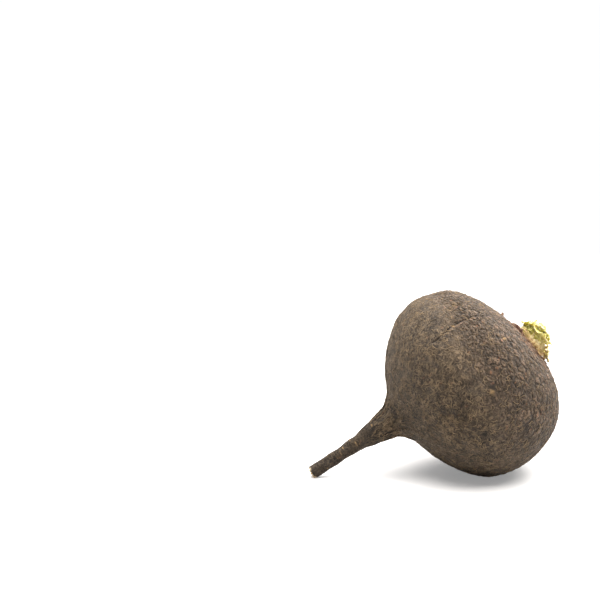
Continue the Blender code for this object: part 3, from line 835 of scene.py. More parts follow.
def skin_relief(spot, at, out, turn, skin):
    """How far the rough skin stands proud of the smooth root, or under it."""
    felt = skin.felt_height * noise.fractal(spot / (1.5 * MM), 0.8, 2.1, 3)
    band = between(at, -0.006, 0.016)
    straight = Vector((out * math.cos(turn), out * math.sin(turn), 1.3 * at))
    near, far = noise.voronoi(straight / (3.4 * MM))[0][:2]
    plates = skin.plate_height * band * (between(far - near, 0.0, 0.45) - 0.6)
    hollows = skin.hollow_depth * noise.fractal(spot / (9 * MM) + Vector((5, 1, 7)), 0.9, 2.0, 2)
    across = Vector((9 * math.cos(turn), 9 * math.sin(turn), at / 0.016))
    furrows = skin.furrow_depth * noise.noise(across) * bump(at, -0.037, 0.017)
    rings = Vector((1.4 * math.cos(turn), 1.4 * math.sin(turn), at / 0.0012))
    wrinkles = skin.wrinkle_depth * noise.noise(rings) * (1 - between(at, -0.052, -0.040))
    cork = 0.0
    if at > 0.02 and out < CORK_RADIUS:
        cork = skin.cork_height * (1 - between(out, CORK_RADIUS - 0.004, CORK_RADIUS))
        cork *= noise.ridged_multi_fractal(spot / (2.2 * MM), 0.9, 2.2, 3, 0.9, 2.0) - 1.0
    return felt + plates + hollows + furrows + wrinkles + cork


def turned_root(mesh, sides):
    """The outline turned round the axis, then given its lumps and bent. Keeps each point's unbent place."""
    turned(mesh, skin_outline(), sides)
    bmesh.ops.remove_doubles(mesh, verts=mesh.verts, dist=1e-6)
    straight = mesh.verts.layers.float_vector.new("straight")
    for vert in mesh.verts:
        out = math.hypot(vert.co.x, vert.co.y)
        at = vert.co.z
        turn = math.atan2(vert.co.y, vert.co.x)
        vert[straight] = vert.co
        if WELL_RADIUS < out < CORK_RADIUS and at > 0.02:
            at += crown_relief(out, turn)
        if out > 0.4 * TIP_RADIUS:
            out += swelling(at, turn) * min(out / 0.004, 1.0)
        vert.co = place(at, out, turn)
    outwards(mesh).normal_update()


def roughen(mesh, skin):
    """Moves every point of the turned root along its normal by the skin's relief."""
    straight = mesh.verts.layers.float_vector["straight"]
    scab = mesh.verts.layers.float.new("scab")
    for vert in mesh.verts:
        here = vert[straight]
        out = math.hypot(here.x, here.y)
        turn = math.atan2(here.y, here.x)
        vert[scab] = scab_share(here.z, turn) if out > WELL_RADIUS else 0.0
        if out > 0.4 * TIP_RADIUS:
            height = skin_relief(vert.co, here.z, out, turn, skin)
            height -= skin.crease_depth * crease_depth(here.z, turn)
            vert.co += vert.normal * (height + 0.00012 * vert[scab])


def cork_mesh():
    """A mesh whose points carry the tone of their flake and how high they stand."""
    return marked_mesh("tone", "height")


def leaf_mesh():
    """A mesh whose points carry how far they are on the blade, near its edge and on a vein."""
    return marked_mesh(vectors=["leaf"])


def crown_spot(out, turn, rise):
    """The point this high over the crown's smooth surface."""
    return crown_point(out, turn) + rise * crown_normal(out, turn)


def cork_flake(draw, out, turn, crown):
    """A thin curved plate of cork that lies along a ring, one side lifted and its rim ragged."""
    flake, tone, height = cork_mesh()
    bmesh.ops.create_grid(flake, x_segments=6, y_segments=2, size=1.0)
    half_length = crown.flake_length / 2 * draw.uniform(0.55, 1.35)
    half_width = crown.flake_width / 2 * draw.uniform(0.6, 1.25)
    lift = crown.flake_lift * draw.random() ** 1.5 * (1 - 0.9 * between(out, 0.0115, 0.0145))
    shade = draw.random() ** 1.4
    side = 1 if draw.random() < 0.7 else -1
    for vert in flake.verts:
        along, across = vert.co.x, vert.co.y
        ragged = 1 + 0.45 * noise.noise(Vector((1.7 * along, 1.7 * across, 31 * turn + 900 * out)))
        at_out = out + half_width * across * (1 - 0.45 * along * along) * ragged
        at_turn = turn + half_length * along * ragged / out
        raised = (0.5 + 0.5 * side * across) ** 1.5 * (1 - 0.5 * along * along)
        vert.co = crown_spot(at_out, at_turn, lift * raised * ragged - 0.0001)
        vert[tone] = shade
        vert[height] = 0.35 + 0.65 * raised
    return thickened(flake, crown.flake_thickness)


def cork_flakes(crown):
    """Rings of flakes from the well's edge out over the shoulder, thinner towards the skin."""
    mesh = cork_mesh()[0]
    draw = random.Random(SEEDS["flakes"])
    out = WELL_RADIUS + 0.0008
    while out < CORK_RADIUS + 0.0016:
        count = int(2 * math.pi * out / (crown.flake_length * 0.92))
        first = draw.uniform(0, 2 * math.pi)
        keep = 0.92 - 0.5 * between(out, 0.017, 0.024)
        for number in range(count):
            turn = first + 2 * math.pi * (number + draw.uniform(-0.25, 0.25)) / count
            if draw.random() < keep:
                append(mesh, cork_flake(draw, out + draw.uniform(-0.0004, 0.0004), turn, crown))
        out += crown.flake_width * 0.82
    return mesh


def scar_sections(draw, out, turn, span):
    """Sections along one corky crescent: upright, leaning out, highest in its middle and ragged."""
    lean = draw.uniform(0.1, 0.6)
    height = SCAR_HEIGHT * draw.uniform(0.6, 1.25) * (1 - 0.75 * between(out, RIM_AT, SCAR_LAST_RADIUS))
    peaks = [draw.uniform(0.65, 1.15) for peak in range(SCAR_PEAKS)]
    rings = []
    heights = []
    for along in spread(-1, 1, 16):
        at_turn = turn + along * span / 2
        at_out = out - 0.06 * out * along * along + 0.0005 * noise.noise(Vector((along * 3, turn * 9, 2)))
        up = crown_normal(at_out, at_turn)
        base = crown_point(at_out, at_turn)
        away = (crown_point(at_out + 0.0004, at_turn) - base).normalized()
        spot = (along + 1) / 2 * (SCAR_PEAKS - 1)
        low = min(int(spot), SCAR_PEAKS - 2)
        peak = peaks[low] + (peaks[low + 1] - peaks[low]) * (spot - low)
        torn = 1.1 - 0.75 * between(noise.noise(Vector((along * 4, turn * 5, out * 900))), 0.0, 0.45)
        rise = height * max(1 - along * along, 0.0) ** 0.6 * peak * torn
        rise *= 1 - 0.5 * between(out, 0.0116, 0.0138)
        half = SCAR_THICKNESS / 2 * (1 - 0.45 * along * along)
        ring = []
        ring_heights = []
        for share, wide in ((-1.0, 0.9), (0.0, 0.9), (0.5, 0.6), (1.0, 0.22)):
            foot = base + (rise * max(share, 0.0) + SCAR_SUNK * min(share, 0.0) + 0.0001) * up
            foot = foot + lean * rise * max(share, 0.0) ** 1.6 * away
            uneven = 0.00012 * noise.noise(foot / (0.5 * MM))
            ring.insert(0, foot - (wide * half + uneven) * away)
            ring.append(foot + (wide * half + uneven) * away)
            ring_heights.insert(0, max(share, 0.0))
            ring_heights.append(max(share, 0.0))
        rings.append(ring)
        heights.append(ring_heights)
    return rings, heights


def leaf_scars():
    """The corky crescents that old leaves left, set in a spiral over the crown."""
    mesh = cork_mesh()[0]
    draw = random.Random(SEEDS["scars"])
    shades = random.Random(SEEDS["scar tones"])
    for count in range(SCAR_COUNT):
        share = (count + 0.5) / SCAR_COUNT
        out = SCAR_FIRST_RADIUS + (SCAR_LAST_RADIUS - SCAR_FIRST_RADIUS) * share
        turn = count * GOLDEN_TURN + draw.uniform(-0.15, 0.15)
        rings, heights = scar_sections(draw, out, turn, draw.uniform(0.45, 0.8))
        scar, tone, height = cork_mesh()
        loft(scar, rings, height, heights)
        shade = shades.uniform(0.1, 0.9)
        for vert in scar.verts:
            vert[tone] = shade
        append(mesh, scar)
    return mesh


def rim_lips():
    """Lips of torn skin that stand along the edge of the crown's plate, dark red outside and pale on top."""
    mesh = cork_mesh()[0]
    for number, (start, end, out, height, corky) in enumerate(RIM_LIPS):
        lip, tone, height_layer = cork_mesh()
        rings, marks = [], []
        for share in spread(0, 1, 24):
            turn = math.radians(start + (end - start) * share)
            ends = math.sin(math.pi * share) ** 0.5
            torn = 0.72 + 0.5 * noise.noise(Vector((share * 7, number * 5, 1)))
            aside = out + 0.0005 * noise.noise(Vector((share * 4, number * 7, 4)))
            up = crown_normal(aside, turn)
            base = crown_point(aside, turn)
            away = (crown_point(aside + 0.0004, turn) - base).normalized()
            rise = max(height * ends * torn, 0.00008)
            ring = [base - 0.0006 * up - 0.0003 * away]
            for high, lean, half in LIP_SECTION:
                ring.append(base + high * rise * up + (lean * rise + half) * away)
            rings.append(ring)
            marks.append([0.0] + [high for high, lean, half in LIP_SECTION])
        loft(lip, rings, height_layer, marks)
        for vert in lip.verts:
            vert[tone] = corky
        append(mesh, lip)
    return mesh


def stub_sections(draw, turn, height):
    """A dry leaf base: a curved strip that hugs the ring, leans out and ends ragged."""
    rings = []
    phase = draw.uniform(0, 50)
    for share in spread(0, 1, 14):
        out = 0.0067 + 0.0012 * share * share
        rise = -0.0002 + (SHEATH_RISE + height) * share - WELL_DEPTH * (1 - share) * 0.2
        reach = STUB_HALF_SPAN * (1 - 0.35 * share)
        half = STUB_THICKNESS / 2 * (1 - 0.55 * share)
        inner, outer = [], []
        for across in spread(-1, 1, 22):
            torn = 0.0009 * share**3 * noise.noise(Vector((across * 3.1, phase, 0)))
            torn += 0.0005 * share**4 * noise.noise(Vector((across * 11, phase, 3)))
            ridge = 0.00007 * math.sin(across * 17 + phase)
            curl = 0.0005 * share * across * across
            inner.append(polar(out - half + ridge + curl, turn + reach * across, rise + torn))
            outer.append(polar(out + half + ridge + curl, turn + reach * across, rise + torn))
        rings.append(inner + outer[::-1])
    return rings


def strap(draw, turn, out, height, span):
    """A thin papery strip of sheath that stands in the ring and curls."""
    strip = bmesh.new()
    bmesh.ops.create_grid(strip, x_segments=5, y_segments=6, size=1.0)
    lean = draw.uniform(-0.1, 0.35)
    twist = draw.uniform(-0.5, 0.5)
    phase = draw.uniform(0, 50)
    for vert in strip.verts:
        across, share = vert.co.x, (vert.co.y + 1) / 2
        torn = 0.35 * share * noise.noise(Vector((across * 2.6, phase, 0)))
        reach = span * (1 - 0.5 * share * share) * across + twist * span * share * share
        vert.co = polar(out + lean * height * share * share + 0.0003 * across * across, turn + reach,
                        0.0002 + height * (share + torn))
    return thickened(strip, STRAP_THICKNESS)


def sheath_ring(mesh, turns):
    """The turned ring in the crown's well that the dry leaf bases stand on."""
    floor = -WELL_DEPTH + FIT_GAP
    outer = WELL_RADIUS - FIT_GAP
    outline = [(SHEATH_INNER, floor), (outer, floor), (outer, -0.0004)]
    outline += [(outer - 0.0004, SHEATH_RISE * 0.3), (outer - 0.0008, SHEATH_RISE * 0.7)]
    outline += [(outer - 0.0014, SHEATH_RISE * 0.9), (SHEATH_INNER + 0.0008, SHEATH_RISE)]
    outline += [(SHEATH_INNER + 0.0002, SHEATH_RISE * 0.8), (SHEATH_INNER, SHEATH_RISE * 0.4)]
    turned(mesh, outline, turns, closed=True)
    for vert in mesh.verts:
        turn = math.atan2(vert.co.y, vert.co.x)
        if vert.co.z > 0:
            vert.co.z += 0.0003 * math.sin(6 * turn + 1.0) + 0.0002 * math.sin(11 * turn)
            vert.co.z += 0.00022 * noise.noise(vert.co / (0.35 * MM))
    outwards(mesh)


def dry_sheaths():
    """The ring with its dry leaf bases, and papery strips that stand between them."""
    mesh = bmesh.new()
    sheath_ring(mesh, RING_SIDES)
    draw = random.Random(SEEDS["sheaths"])
    for turn in STUB_TURNS:
        stub = bmesh.new()
        loft(stub, stub_sections(draw, math.radians(turn), draw.uniform(0.0008, 0.0020)))
        append(mesh, stub)
    for count in range(STRAPS):
        out = draw.uniform(0.0061, 0.0085)
        height = draw.uniform(0.0009, 0.0022)
        append(mesh, strap(draw, count * GOLDEN_TURN, out, height, draw.uniform(0.06, 0.16)))
    mark_straw(mesh)
    return mesh


def mark_straw(mesh):
    """Marks how high each point of the sheaths stands, and its place turned out flat for the streaks."""
    height = mesh.verts.layers.float.new("height")
    grown = mesh.verts.layers.float_vector.new("grown")
    for vert in mesh.verts:
        turn = math.atan2(vert.co.y, vert.co.x)
        vert[height] = between(vert.co.z, -0.0006, 0.0012)
        vert[grown] = Vector((0.007 * math.cos(turn), 0.007 * math.sin(turn), vert.co.z))


def leaf_line(turn, rise, reach, droop, share):
    """A point of the midrib: up out of the crown, then bending outwards and, at its end, down."""
    start = -WELL_DEPTH + FIT_GAP
    out = STALK_CIRCLE + reach * share**1.7
    height = start + (rise - start) * math.sin(share * math.pi / 2) - droop * share**3
    return polar(out, turn, height)


def leaf_width(blade, blade_from, share, teeth):
    """Half width: a slim stalk, then a blade in lobes, toothed along its edge."""
    along = max((share - blade_from) / (1.04 - blade_from), 0.0)
    swell = math.sin(math.pi * along**0.8) ** 0.6 if along > 0 else 0.0
    lobes = 1 - 0.22 * math.cos(4 * math.pi * along)
    step = share * LEAF_STEPS
    tooth = 1 - TOOTH_DEPTH * (0.5 - 0.5 * math.cos(math.pi * step)) * swell
    tooth -= teeth * swell * (0.5 - 0.5 * math.cos(3.1 * math.pi * step))
    return STALK_HALF_WIDTH + (blade - STALK_HALF_WIDTH) * swell * lobes * tooth


def vein_share(share, across, blade):
    """1 on the midrib and on the side veins that slant out from it, 0 between them."""
    rib = math.exp(-((across / 0.09) ** 2))
    phase = (share * 9 - 0.8 * abs(across)) % 1.0
    side_vein = math.exp(-(((phase - 0.5) / 0.10) ** 2)) * (1 - abs(across)) ** 0.5
    return max(rib, 0.8 * side_vein * blade)


def leaf_sections(leaf, green, count, tuft, curled):
    """Sections across a leaf, each a thin closed strip, cupped and waved, with its veins and crumples."""
    turn_degrees, rise, reach, droop, blade, blade_from = leaf
    turn = math.radians(turn_degrees)
    shares = spread(0, 1, tuft.leaf_sections)
    path = [leaf_line(turn, rise, reach, droop, share) for share in shares]
    radial = Vector((path[-1].x, path[-1].y, 0)).normalized()
    side = Vector((0, 0, 1)).cross(radial)
    rings, marks = [], []
    for number, (share, point) in enumerate(zip(shares, path)):
        width = leaf_width(blade, blade_from, share, tuft.fine_teeth)
        ahead = path[min(number + 1, len(path) - 1)] - path[max(number - 1, 0)]
        upper = ahead.cross(side).normalized()
        on_blade = between(width, STALK_HALF_WIDTH, 2.5 * STALK_HALF_WIDTH)
        half = (BLADE_THICKNESS / 2) * (1 - 0.35 * on_blade) + 0.0003 * (1 - on_blade)
        top, under, ring_marks = [], [], []
        for across in spread(-1, 1, tuft.leaf_columns):
            step = share * LEAF_STEPS
            broad = math.sin(1.7 * step + 1.3 * count + 2 * across)
            small = math.sin(5.3 * step + 2.9 * count + 3 * across)
            wave = LEAF_FRILL * on_blade * abs(across) ** 1.5 * broad
            wave += tuft.fine_frill * curled * on_blade * across**4 * small
            vein = vein_share(share, across, on_blade)
            bulge = 0.4 + noise.noise(point / MM + side * across * 3)
            crumple = tuft.crumple * on_blade * (1 - vein) * bulge
            middle = point + side * width * across
            middle = middle + upper * (wave + crumple + 0.25 * width * on_blade * across * across)
            rounded = half * (1 - (0.75 - 0.35 * on_blade) * across * across)
            groove = 0.35 * half * (1 - on_blade) * math.exp(-((across / 0.35) ** 2))
            top.append(middle + upper * (rounded - groove - 0.00008 * vein * on_blade))
            under.append(middle - upper * (rounded + 0.00012 * vein * on_blade))
            ring_marks.append(Vector((green * on_blade, green * abs(across) * on_blade, vein)))
        rings.append(top + under[::-1])
        marks.append(ring_marks + ring_marks[::-1])
    return rings, marks


def grown_leaf(leaf, green, count, tuft, curled):
    """One leaf, with its marks for the material."""
    mesh, mark = leaf_mesh()
    rings, marks = leaf_sections(leaf, green, count, tuft, curled)
    loft(mesh, rings, mark, marks)
    return mesh


def leaflet_sections(draw, turn, height):
    """One leaflet folded against the bud, with a scalloped top edge."""
    rings, marks = [], []
    phase = draw.uniform(0, 50)
    for share in spread(0, 1, 14):
        out = BUD_RADIUS * (1.02 - 0.45 * share * share)
        rise = height * (0.15 + 0.85 * share)
        reach = 0.55 * math.sin(math.pi * (0.2 + 0.62 * share))
        inner, outer, ring_marks = [], [], []
        for across in spread(-1, 1, 16):
            scallop = -0.00045 * share**2 * math.cos(2 * math.pi * across)
            scallop += 0.0003 * share**3 * noise.noise(Vector((across * 4, phase, 0)))
            curl = (0.0004 + 0.0004 * math.cos(3 * math.pi * across)) * share * share
            inner.append(polar(out - 0.0005, turn + reach * across, rise + scallop))
            outer.append(polar(out + 0.0003 + curl, turn + reach * across, rise + scallop - 0.0002))
            vein = math.exp(-((across / 0.16) ** 2)) * (1 - share)
            ring_marks.append(Vector((0.35 + 0.65 * share, share * share, vein)))
        rings.append(inner + outer[::-1])
        marks.append(ring_marks + ring_marks[::-1])
    return rings, marks


def curd(draw, turn, out, height, size):
    """One of the tiny folded tips that crowd the top of the bud."""
    tip, mark = leaf_mesh()
    bmesh.ops.create_icosphere(tip, subdivisions=2, radius=1.0)
    phase = draw.uniform(0, 50)
    for vert in tip.verts:
        knob = 1 + 0.35 * noise.noise(vert.co * 2.1 + Vector((phase, 0, 0)))
        high = 0.5 + 0.5 * vert.co.z
        stretched = Vector((vert.co.x, 0.7 * vert.co.y, 1.5 * vert.co.z))
        vert.co = polar(out, turn, height) + stretched * size * knob
        vert[mark] = Vector((1.0, 0.9 * high * draw.uniform(0.5, 1.0), 0.0))
    return tip


def heart_bud():
    """The tight heart of the tuft: a slim core with leaflets folded round it and curds on its top."""
    mesh, mark = leaf_mesh()
    bmesh.ops.create_icosphere(mesh, subdivisions=4, radius=BUD_RADIUS)
    start = -WELL_DEPTH + FIT_GAP
    for vert in mesh.verts:
        share = (vert.co.z / BUD_RADIUS + 1) / 2
        narrow = (1 - 0.3 * share) * (1 + 0.05 * noise.noise(vert.co / (0.5 * MM)))
        vert.co.x *= narrow
        vert.co.y *= narrow
        vert.co.z = start + (BUD_HEIGHT + WELL_DEPTH) * share
        vert[mark] = Vector((share, share, 0))
    draw = random.Random(SEEDS["bud"])
    for count in range(BUD_LEAFLETS):
        height = BUD_HEIGHT * (0.72 + 0.36 * count / BUD_LEAFLETS)
        leaflet, leaflet_mark = leaf_mesh()
        rings, marks = leaflet_sections(draw, count * GOLDEN_TURN, height)
        draw.random()  # a spare draw after each leaflet
        loft(leaflet, rings, leaflet_mark, marks)
        append(mesh, leaflet)
    for count in range(BUD_CURDS):
        out = 0.00185 * math.sqrt(count / BUD_CURDS)
        size = draw.uniform(0.00032, 0.00055)
        append(mesh, curd(draw, count * GOLDEN_TURN, out, BUD_HEIGHT * draw.uniform(0.94, 1.08), size))
    return mesh


def frill(draw, spot, outward, size, olive):
    """One crumpled lobe of a leaf's edge, that stands out of the tuft's head."""
    lobe, mark = leaf_mesh()
    bmesh.ops.create_grid(lobe, x_segments=4, y_segments=3, size=1.0)
    aside = random_way(draw).cross(outward).normalized()
    through = outward.cross(aside)
    phase = draw.uniform(0, 2 * math.pi)
    for vert in lobe.verts:
        across, high = vert.co.x, (vert.co.y + 1) / 2
        wide = 0.45 + 0.75 * high
        wave = 0.45 * high * math.sin(3.2 * across + phase) - 0.35 * across * across
        rounded = high - 0.35 * high * across * across
        vert.co = spot + size * (across * wide * aside + 1.5 * rounded * outward + wave * through)
        vert[mark] = Vector((0.75 + 0.25 * high, olive * high, 0.5 * (1 - high)))
    return thickened(lobe, 0.3 * size)


def frilled_head():
    """The crowded lobes that close the tuft into a dense head, olive here and there along its top."""
    mesh = leaf_mesh()[0]
    draw = random.Random(SEEDS["head"])
    for count in range(HEAD_LOBES):
        level = 1 - 1.55 * (count + 0.5) / HEAD_LOBES
        around = count * GOLDEN_TURN
        level_out = math.sqrt(1 - level * level)
        outward = Vector((level_out * math.cos(around), level_out * math.sin(around), level))
        depth = draw.uniform(0.62, 0.90)
        spot = HEAD_MIDDLE + depth * Vector([reach * part for reach, part in zip(HEAD_REACH, outward)])
        olive = draw.uniform(0.5, 1.0) if level > 0.45 and draw.random() < 0.45 else draw.uniform(0.0, 0.35)
        append(mesh, frill(draw, spot, outward, draw.uniform(0.00055, 0.00085), olive))
    return mesh


def thread_object(name, threads, material, slot):
    """One piece from many thin round threads, each a list of points and its radius, tapered to its ends."""
    line = bpy.data.curves.new(name, "CURVE")
    line.dimensions = "3D"
    line.bevel_depth = 1.0
    line.bevel_resolution = 0
    line.use_fill_caps = True
    for points, radius in threads:
        spline = line.splines.new("POLY")
        spline.points.add(len(points) - 1)
        for number, (point, target) in enumerate(zip(points, spline.points)):
            target.co = (*point, 1.0)
            share = number / (len(points) - 1)
            target.radius = radius * (0.35 + 0.65 * math.sin(math.pi * (0.12 + 0.76 * share)))
    holder = bpy.data.objects.new(name + "_lines", line)
    bpy.context.scene.collection.objects.link(holder)
    graph = bpy.context.evaluated_depsgraph_get()
    tubes = bpy.data.meshes.new_from_object(holder.evaluated_get(graph))
    bpy.data.objects.remove(holder)
    mesh = bmesh.new()
    mesh.from_mesh(tubes)
    above_table(mesh, 0.00001)
    return finished(mesh, name, material, slot)


def surface_tree(name):
    """Finds points on a finished piece."""
    piece = bpy.data.objects[name]
    return BVHTree.FromObject(piece, bpy.context.evaluated_depsgraph_get())


def curly_thread(draw, tree, start, heading, length, curl, lift):
    """Points of one thread that wanders over the surface, close to it, in curls."""
    points = []
    spot, normal = tree.find_nearest(start)[:2]
    heading = (heading - heading.dot(normal) * normal).normalized()
    steps = 8
    bend = draw.uniform(-curl, curl)
    high = lift * draw.uniform(0.2, 1.0)
    for number in range(steps + 1):
        share = number / steps
        points.append(spot + normal * (0.00003 + high * math.sin(math.pi * share) ** 2))
        bend += draw.uniform(-curl, curl) * 0.6
        bend = min(max(bend, -1.4 * curl), 1.4 * curl)
        heading = Matrix.Rotation(bend, 3, normal) @ heading
        spot, normal = tree.find_nearest(spot + heading * length / steps)[:2]
        heading = (heading - heading.dot(normal) * normal).normalized()
    return points


def side_spot(at, turn):
    return place(at, root_radius(at), turn)


def body_threads(draw, tree, settings):
    """Felt fibres all over the body, and the tangle low on its side."""
    threads = []
    for _ in range(settings.fibre_count):
        at = draw.uniform(*FELT_RANGE)
        turn = draw.uniform(0, 2 * math.pi)
        length = settings.fibre_length * draw.uniform(0.5, 1.5)
        heading = random_way(draw)
        points = curly_thread(draw, tree, side_spot(at, turn), heading, length, 0.42, settings.fibre_lift)
        threads.append((points, settings.fibre_thickness / 2 * draw.uniform(0.6, 1.2)))
    for _ in range(settings.tangle_count):
        at = TANGLE_AT + draw.gauss(0, TANGLE_REACH)
        turn = math.radians(TANGLE_TURN) + draw.gauss(0, TANGLE_SPAN)
        heading = Vector((draw.uniform(-1, 1), 0, draw.uniform(-1, 1)))
        length = settings.fibre_length * draw.uniform(0.8, 1.8)
        points = curly_thread(draw, tree, side_spot(at, turn), heading, length, 0.55, 2 * settings.fibre_lift)
        threads.append((points, settings.fibre_thickness / 2 * draw.uniform(0.9, 1.5)))
    return threads


def neck_threads(draw, tree, settings):
    """Short fuzz that runs down the folds into the neck and along the taproot."""
    threads = []
    for _ in range(settings.neck_count):
        at = draw.uniform(*NECK_FUZZ_RANGE)
        turn = draw.uniform(0, 2 * math.pi)
        start = side_spot(at, turn)
        heading = start - side_spot(at + 0.004, turn)
        length = settings.fibre_length * draw.uniform(0.35, 0.8)
        points = curly_thread(draw, tree, start, heading, length, 0.22, 1.4 * settings.fibre_lift)
        threads.append((points, settings.fibre_thickness / 2 * draw.uniform(0.5, 0.9)))
    return threads


def torn_tip(draw, settings):
    """Pale shreds that stand out of the cut end of the taproot, most of them on its lower side."""
    threads = []
    for _ in range(settings.shred_count):
        turn = draw.gauss(math.pi, 1.3)
        out = TIP_RADIUS * draw.uniform(0.45, 0.98)
        start = place(TIP_AT + 0.0003, out, turn)
        ahead = (axis_point(TIP_AT) - axis_point(TIP_AT + 0.002)).normalized()
        outward = (place(TIP_AT, out + 0.001, turn) - place(TIP_AT, out, turn)).normalized()
        length = draw.uniform(0.0007, 0.0019)
        bend = draw.uniform(-0.4, 0.7)
        points = []
        for share in spread(0, 1, 4):
            spot = start + length * (share * ahead + bend * share * share * outward)
            spot.z = max(spot.z, 0.0004)
            points.append(spot)
        threads.append((points, draw.uniform(0.00015, 0.00034)))
    return threads


def crown_threads(draw, settings):
    """Fine dry fibres that curl round the leaf bases."""
    to_crown = crown_frame()
    threads = []
    for _ in range(settings.crown_thread_count):
        turn = draw.uniform(0, 2 * math.pi)
        out = draw.uniform(0.0058, 0.0100)
        height = draw.uniform(0.0002, 0.0012)
        sweep = draw.uniform(-1.3, 1.3)
        rise = draw.uniform(0.0, 0.0026)
        away = draw.uniform(-0.0008, 0.0032)
        points = []
        for share in spread(0, 1, 9):
            at_turn = turn + sweep * share
            wiggle = 0.0003 * math.sin(9 * share + turn)
            high = height + rise * math.sin(math.pi * share * 0.8)
            spot = polar(out + away * share + wiggle, at_turn, high)
            points.append(to_crown @ spot)
        threads.append((points, draw.uniform(0.00005, 0.00010)))
    return threads


def white_table():
    mesh = bmesh.new()
    bmesh.ops.create_grid(mesh, x_segments=1, y_segments=1, size=TABLE_HALF_SIDE)
    data = bpy.data.meshes.new("table_top")
    mesh.to_mesh(data)
    mesh.free()
    data.materials.append(floor_material())
    table = bpy.data.objects.new("table_top", data)
    bpy.context.scene.collection.objects.link(table)


def white_room(brightness):
    room = bpy.data.worlds.new("white_room")
    room.use_nodes = True
    shop = Shop(room.node_tree)
    way = shop.parts(shop.add("ShaderNodeTexCoord").outputs["Generated"])["X"]
    shaded = shop.ramp(way, -0.8, 0.7, DIM_SIDE * brightness, brightness)
    background = room.node_tree.nodes["Background"].inputs
    background["Color"].default_value = (1.0, 1.0, 1.0, 1.0)
    shop.feed(background["Strength"], shop.largest(shaded, shop.product(shop.seen(), BACKDROP)))
    bpy.context.scene.world = room
    bpy.context.scene.view_settings.view_transform = "Standard"


def soft_light(name, spot, size, power):
    """A square soft light that looks at the body's middle."""
    light = bpy.data.lights.new(name, "AREA")
    light.shape = "SQUARE"
    light.size = size
    light.energy = power
    light.color = LIGHT_COLOUR
    lamp = bpy.data.objects.new(name, light)
    lamp.location = spot
    lamp.rotation_euler = (MIDDLE - Vector(spot)).to_track_quat("-Z", "Y").to_euler()
    bpy.context.scene.collection.objects.link(lamp)


def stand_camera(stage):
    """The camera whose picture has the body's middle where the settings say."""
    lens = bpy.data.cameras.new("camera")
    lens.lens = stage.lens
    camera = bpy.data.objects.new("camera", lens)
    bpy.context.scene.collection.objects.link(camera)
    ahead = Vector((-math.sin(stage.turn) * math.cos(stage.lift), math.cos(stage.turn) * math.cos(stage.lift),
                    -math.sin(stage.lift)))
    level = Vector((math.cos(stage.turn), math.sin(stage.turn), 0))
    upright = level.cross(ahead)
    right = math.cos(stage.roll) * level - math.sin(stage.roll) * upright
    up = math.sin(stage.roll) * level + math.cos(stage.roll) * upright
    pixel = stage.distance * lens.sensor_width / stage.lens / stage.picture_size
    across = (stage.middle_across - stage.picture_size / 2) * pixel
    down = (stage.middle_down - stage.picture_size / 2) * pixel
    spot = MIDDLE - across * right + down * up - stage.distance * ahead
    camera.matrix_world = Matrix.Translation(spot) @ Matrix((right, up, -ahead)).transposed().to_4x4()
    bpy.context.scene.camera = camera


def length(name, words, default):
    return bpy.props.FloatProperty(name=name, description=words, default=default, unit="LENGTH")


def number(name, words, default):
    return bpy.props.FloatProperty(name=name, description=words, default=default)


def count_of(name, words, default, least=0, most=10000):
    return bpy.props.IntProperty(name=name, description=words, default=default, min=least, max=most)


def angle(name, words, degrees):
    turn = math.radians(degrees)
    return bpy.props.FloatProperty(name=name, description=words, default=turn, unit="ROTATION")


def colour_of(name, words, default):
    return bpy.props.FloatVectorProperty(name=name, description=words, default=default, subtype="COLOR")


class SkinSettings(bpy.types.PropertyGroup):
    sides: count_of("Sides", "Steps round the root", 288, 24, 290)
    felt_height: length("Felt height", "Fine roughness all over the skin", 0.00005)
    plate_height: length("Plate height", "How far the cracked plates stand over their cracks", 0.00026)
    hollow_depth: length("Hollow depth", "Broad shallow dents", 0.00022)
    furrow_depth: length("Furrow depth", "Folds that run into the neck", 0.00045)
    wrinkle_depth: length("Wrinkle depth", "Rings across the taproot", 0.00016)
    cork_height: length("Cork height", "Roughness of the crown between its flakes", 0.00018)
    crease_depth: length("Crease depth", "Depth of the long crease over the shoulder", 0.00045)


class CrownSettings(bpy.types.PropertyGroup):
    flake_length: length("Flake length", "Length of a cork flake along its ring", 0.0036)
    flake_width: length("Flake width", "Width of a cork flake", 0.0015)
    flake_thickness: length("Flake thickness", "Thickness of a cork flake", 0.00022)
    flake_lift: length("Flake lift", "How far the loosest flakes stand up", 0.0013)


class TuftSettings(bpy.types.PropertyGroup):
    leaf_sections: count_of("Leaf sections", "Steps along a young leaf", 75, 15)
    leaf_columns: count_of("Leaf columns", "Steps across a young leaf", 24, 6)
    fine_teeth: number("Fine teeth", "Depth of the small teeth as a share of the blade's width", 0.06)
    fine_frill: length("Fine frill", "Height of the small waves of the edge", 0.00028)
    crumple: length("Crumple", "Height of the bulges between the veins", 0.00022)


class FibreSettings(bpy.types.PropertyGroup):
    fibre_count: count_of("Fibres", "Felt fibres on the body", 2200)
    fibre_length: length("Fibre length", "Length of a felt fibre", 0.0042)
    fibre_thickness: length("Fibre thickness", "Thickness of a felt fibre", 0.00014)
    fibre_lift: length("Fibre lift", "How high a fibre arches over the skin", 0.00022)
    tangle_count: count_of("Tangle fibres", "Fibres in the tangle on the side", 60)
    neck_count: count_of("Neck fibres", "Fuzz where the neck begins", 420)
    crown_thread_count: count_of("Crown threads", "Dry threads round the leaf bases", 90)
    shred_count: count_of("Shreds", "Shreds of the taproot's cut end", 46)


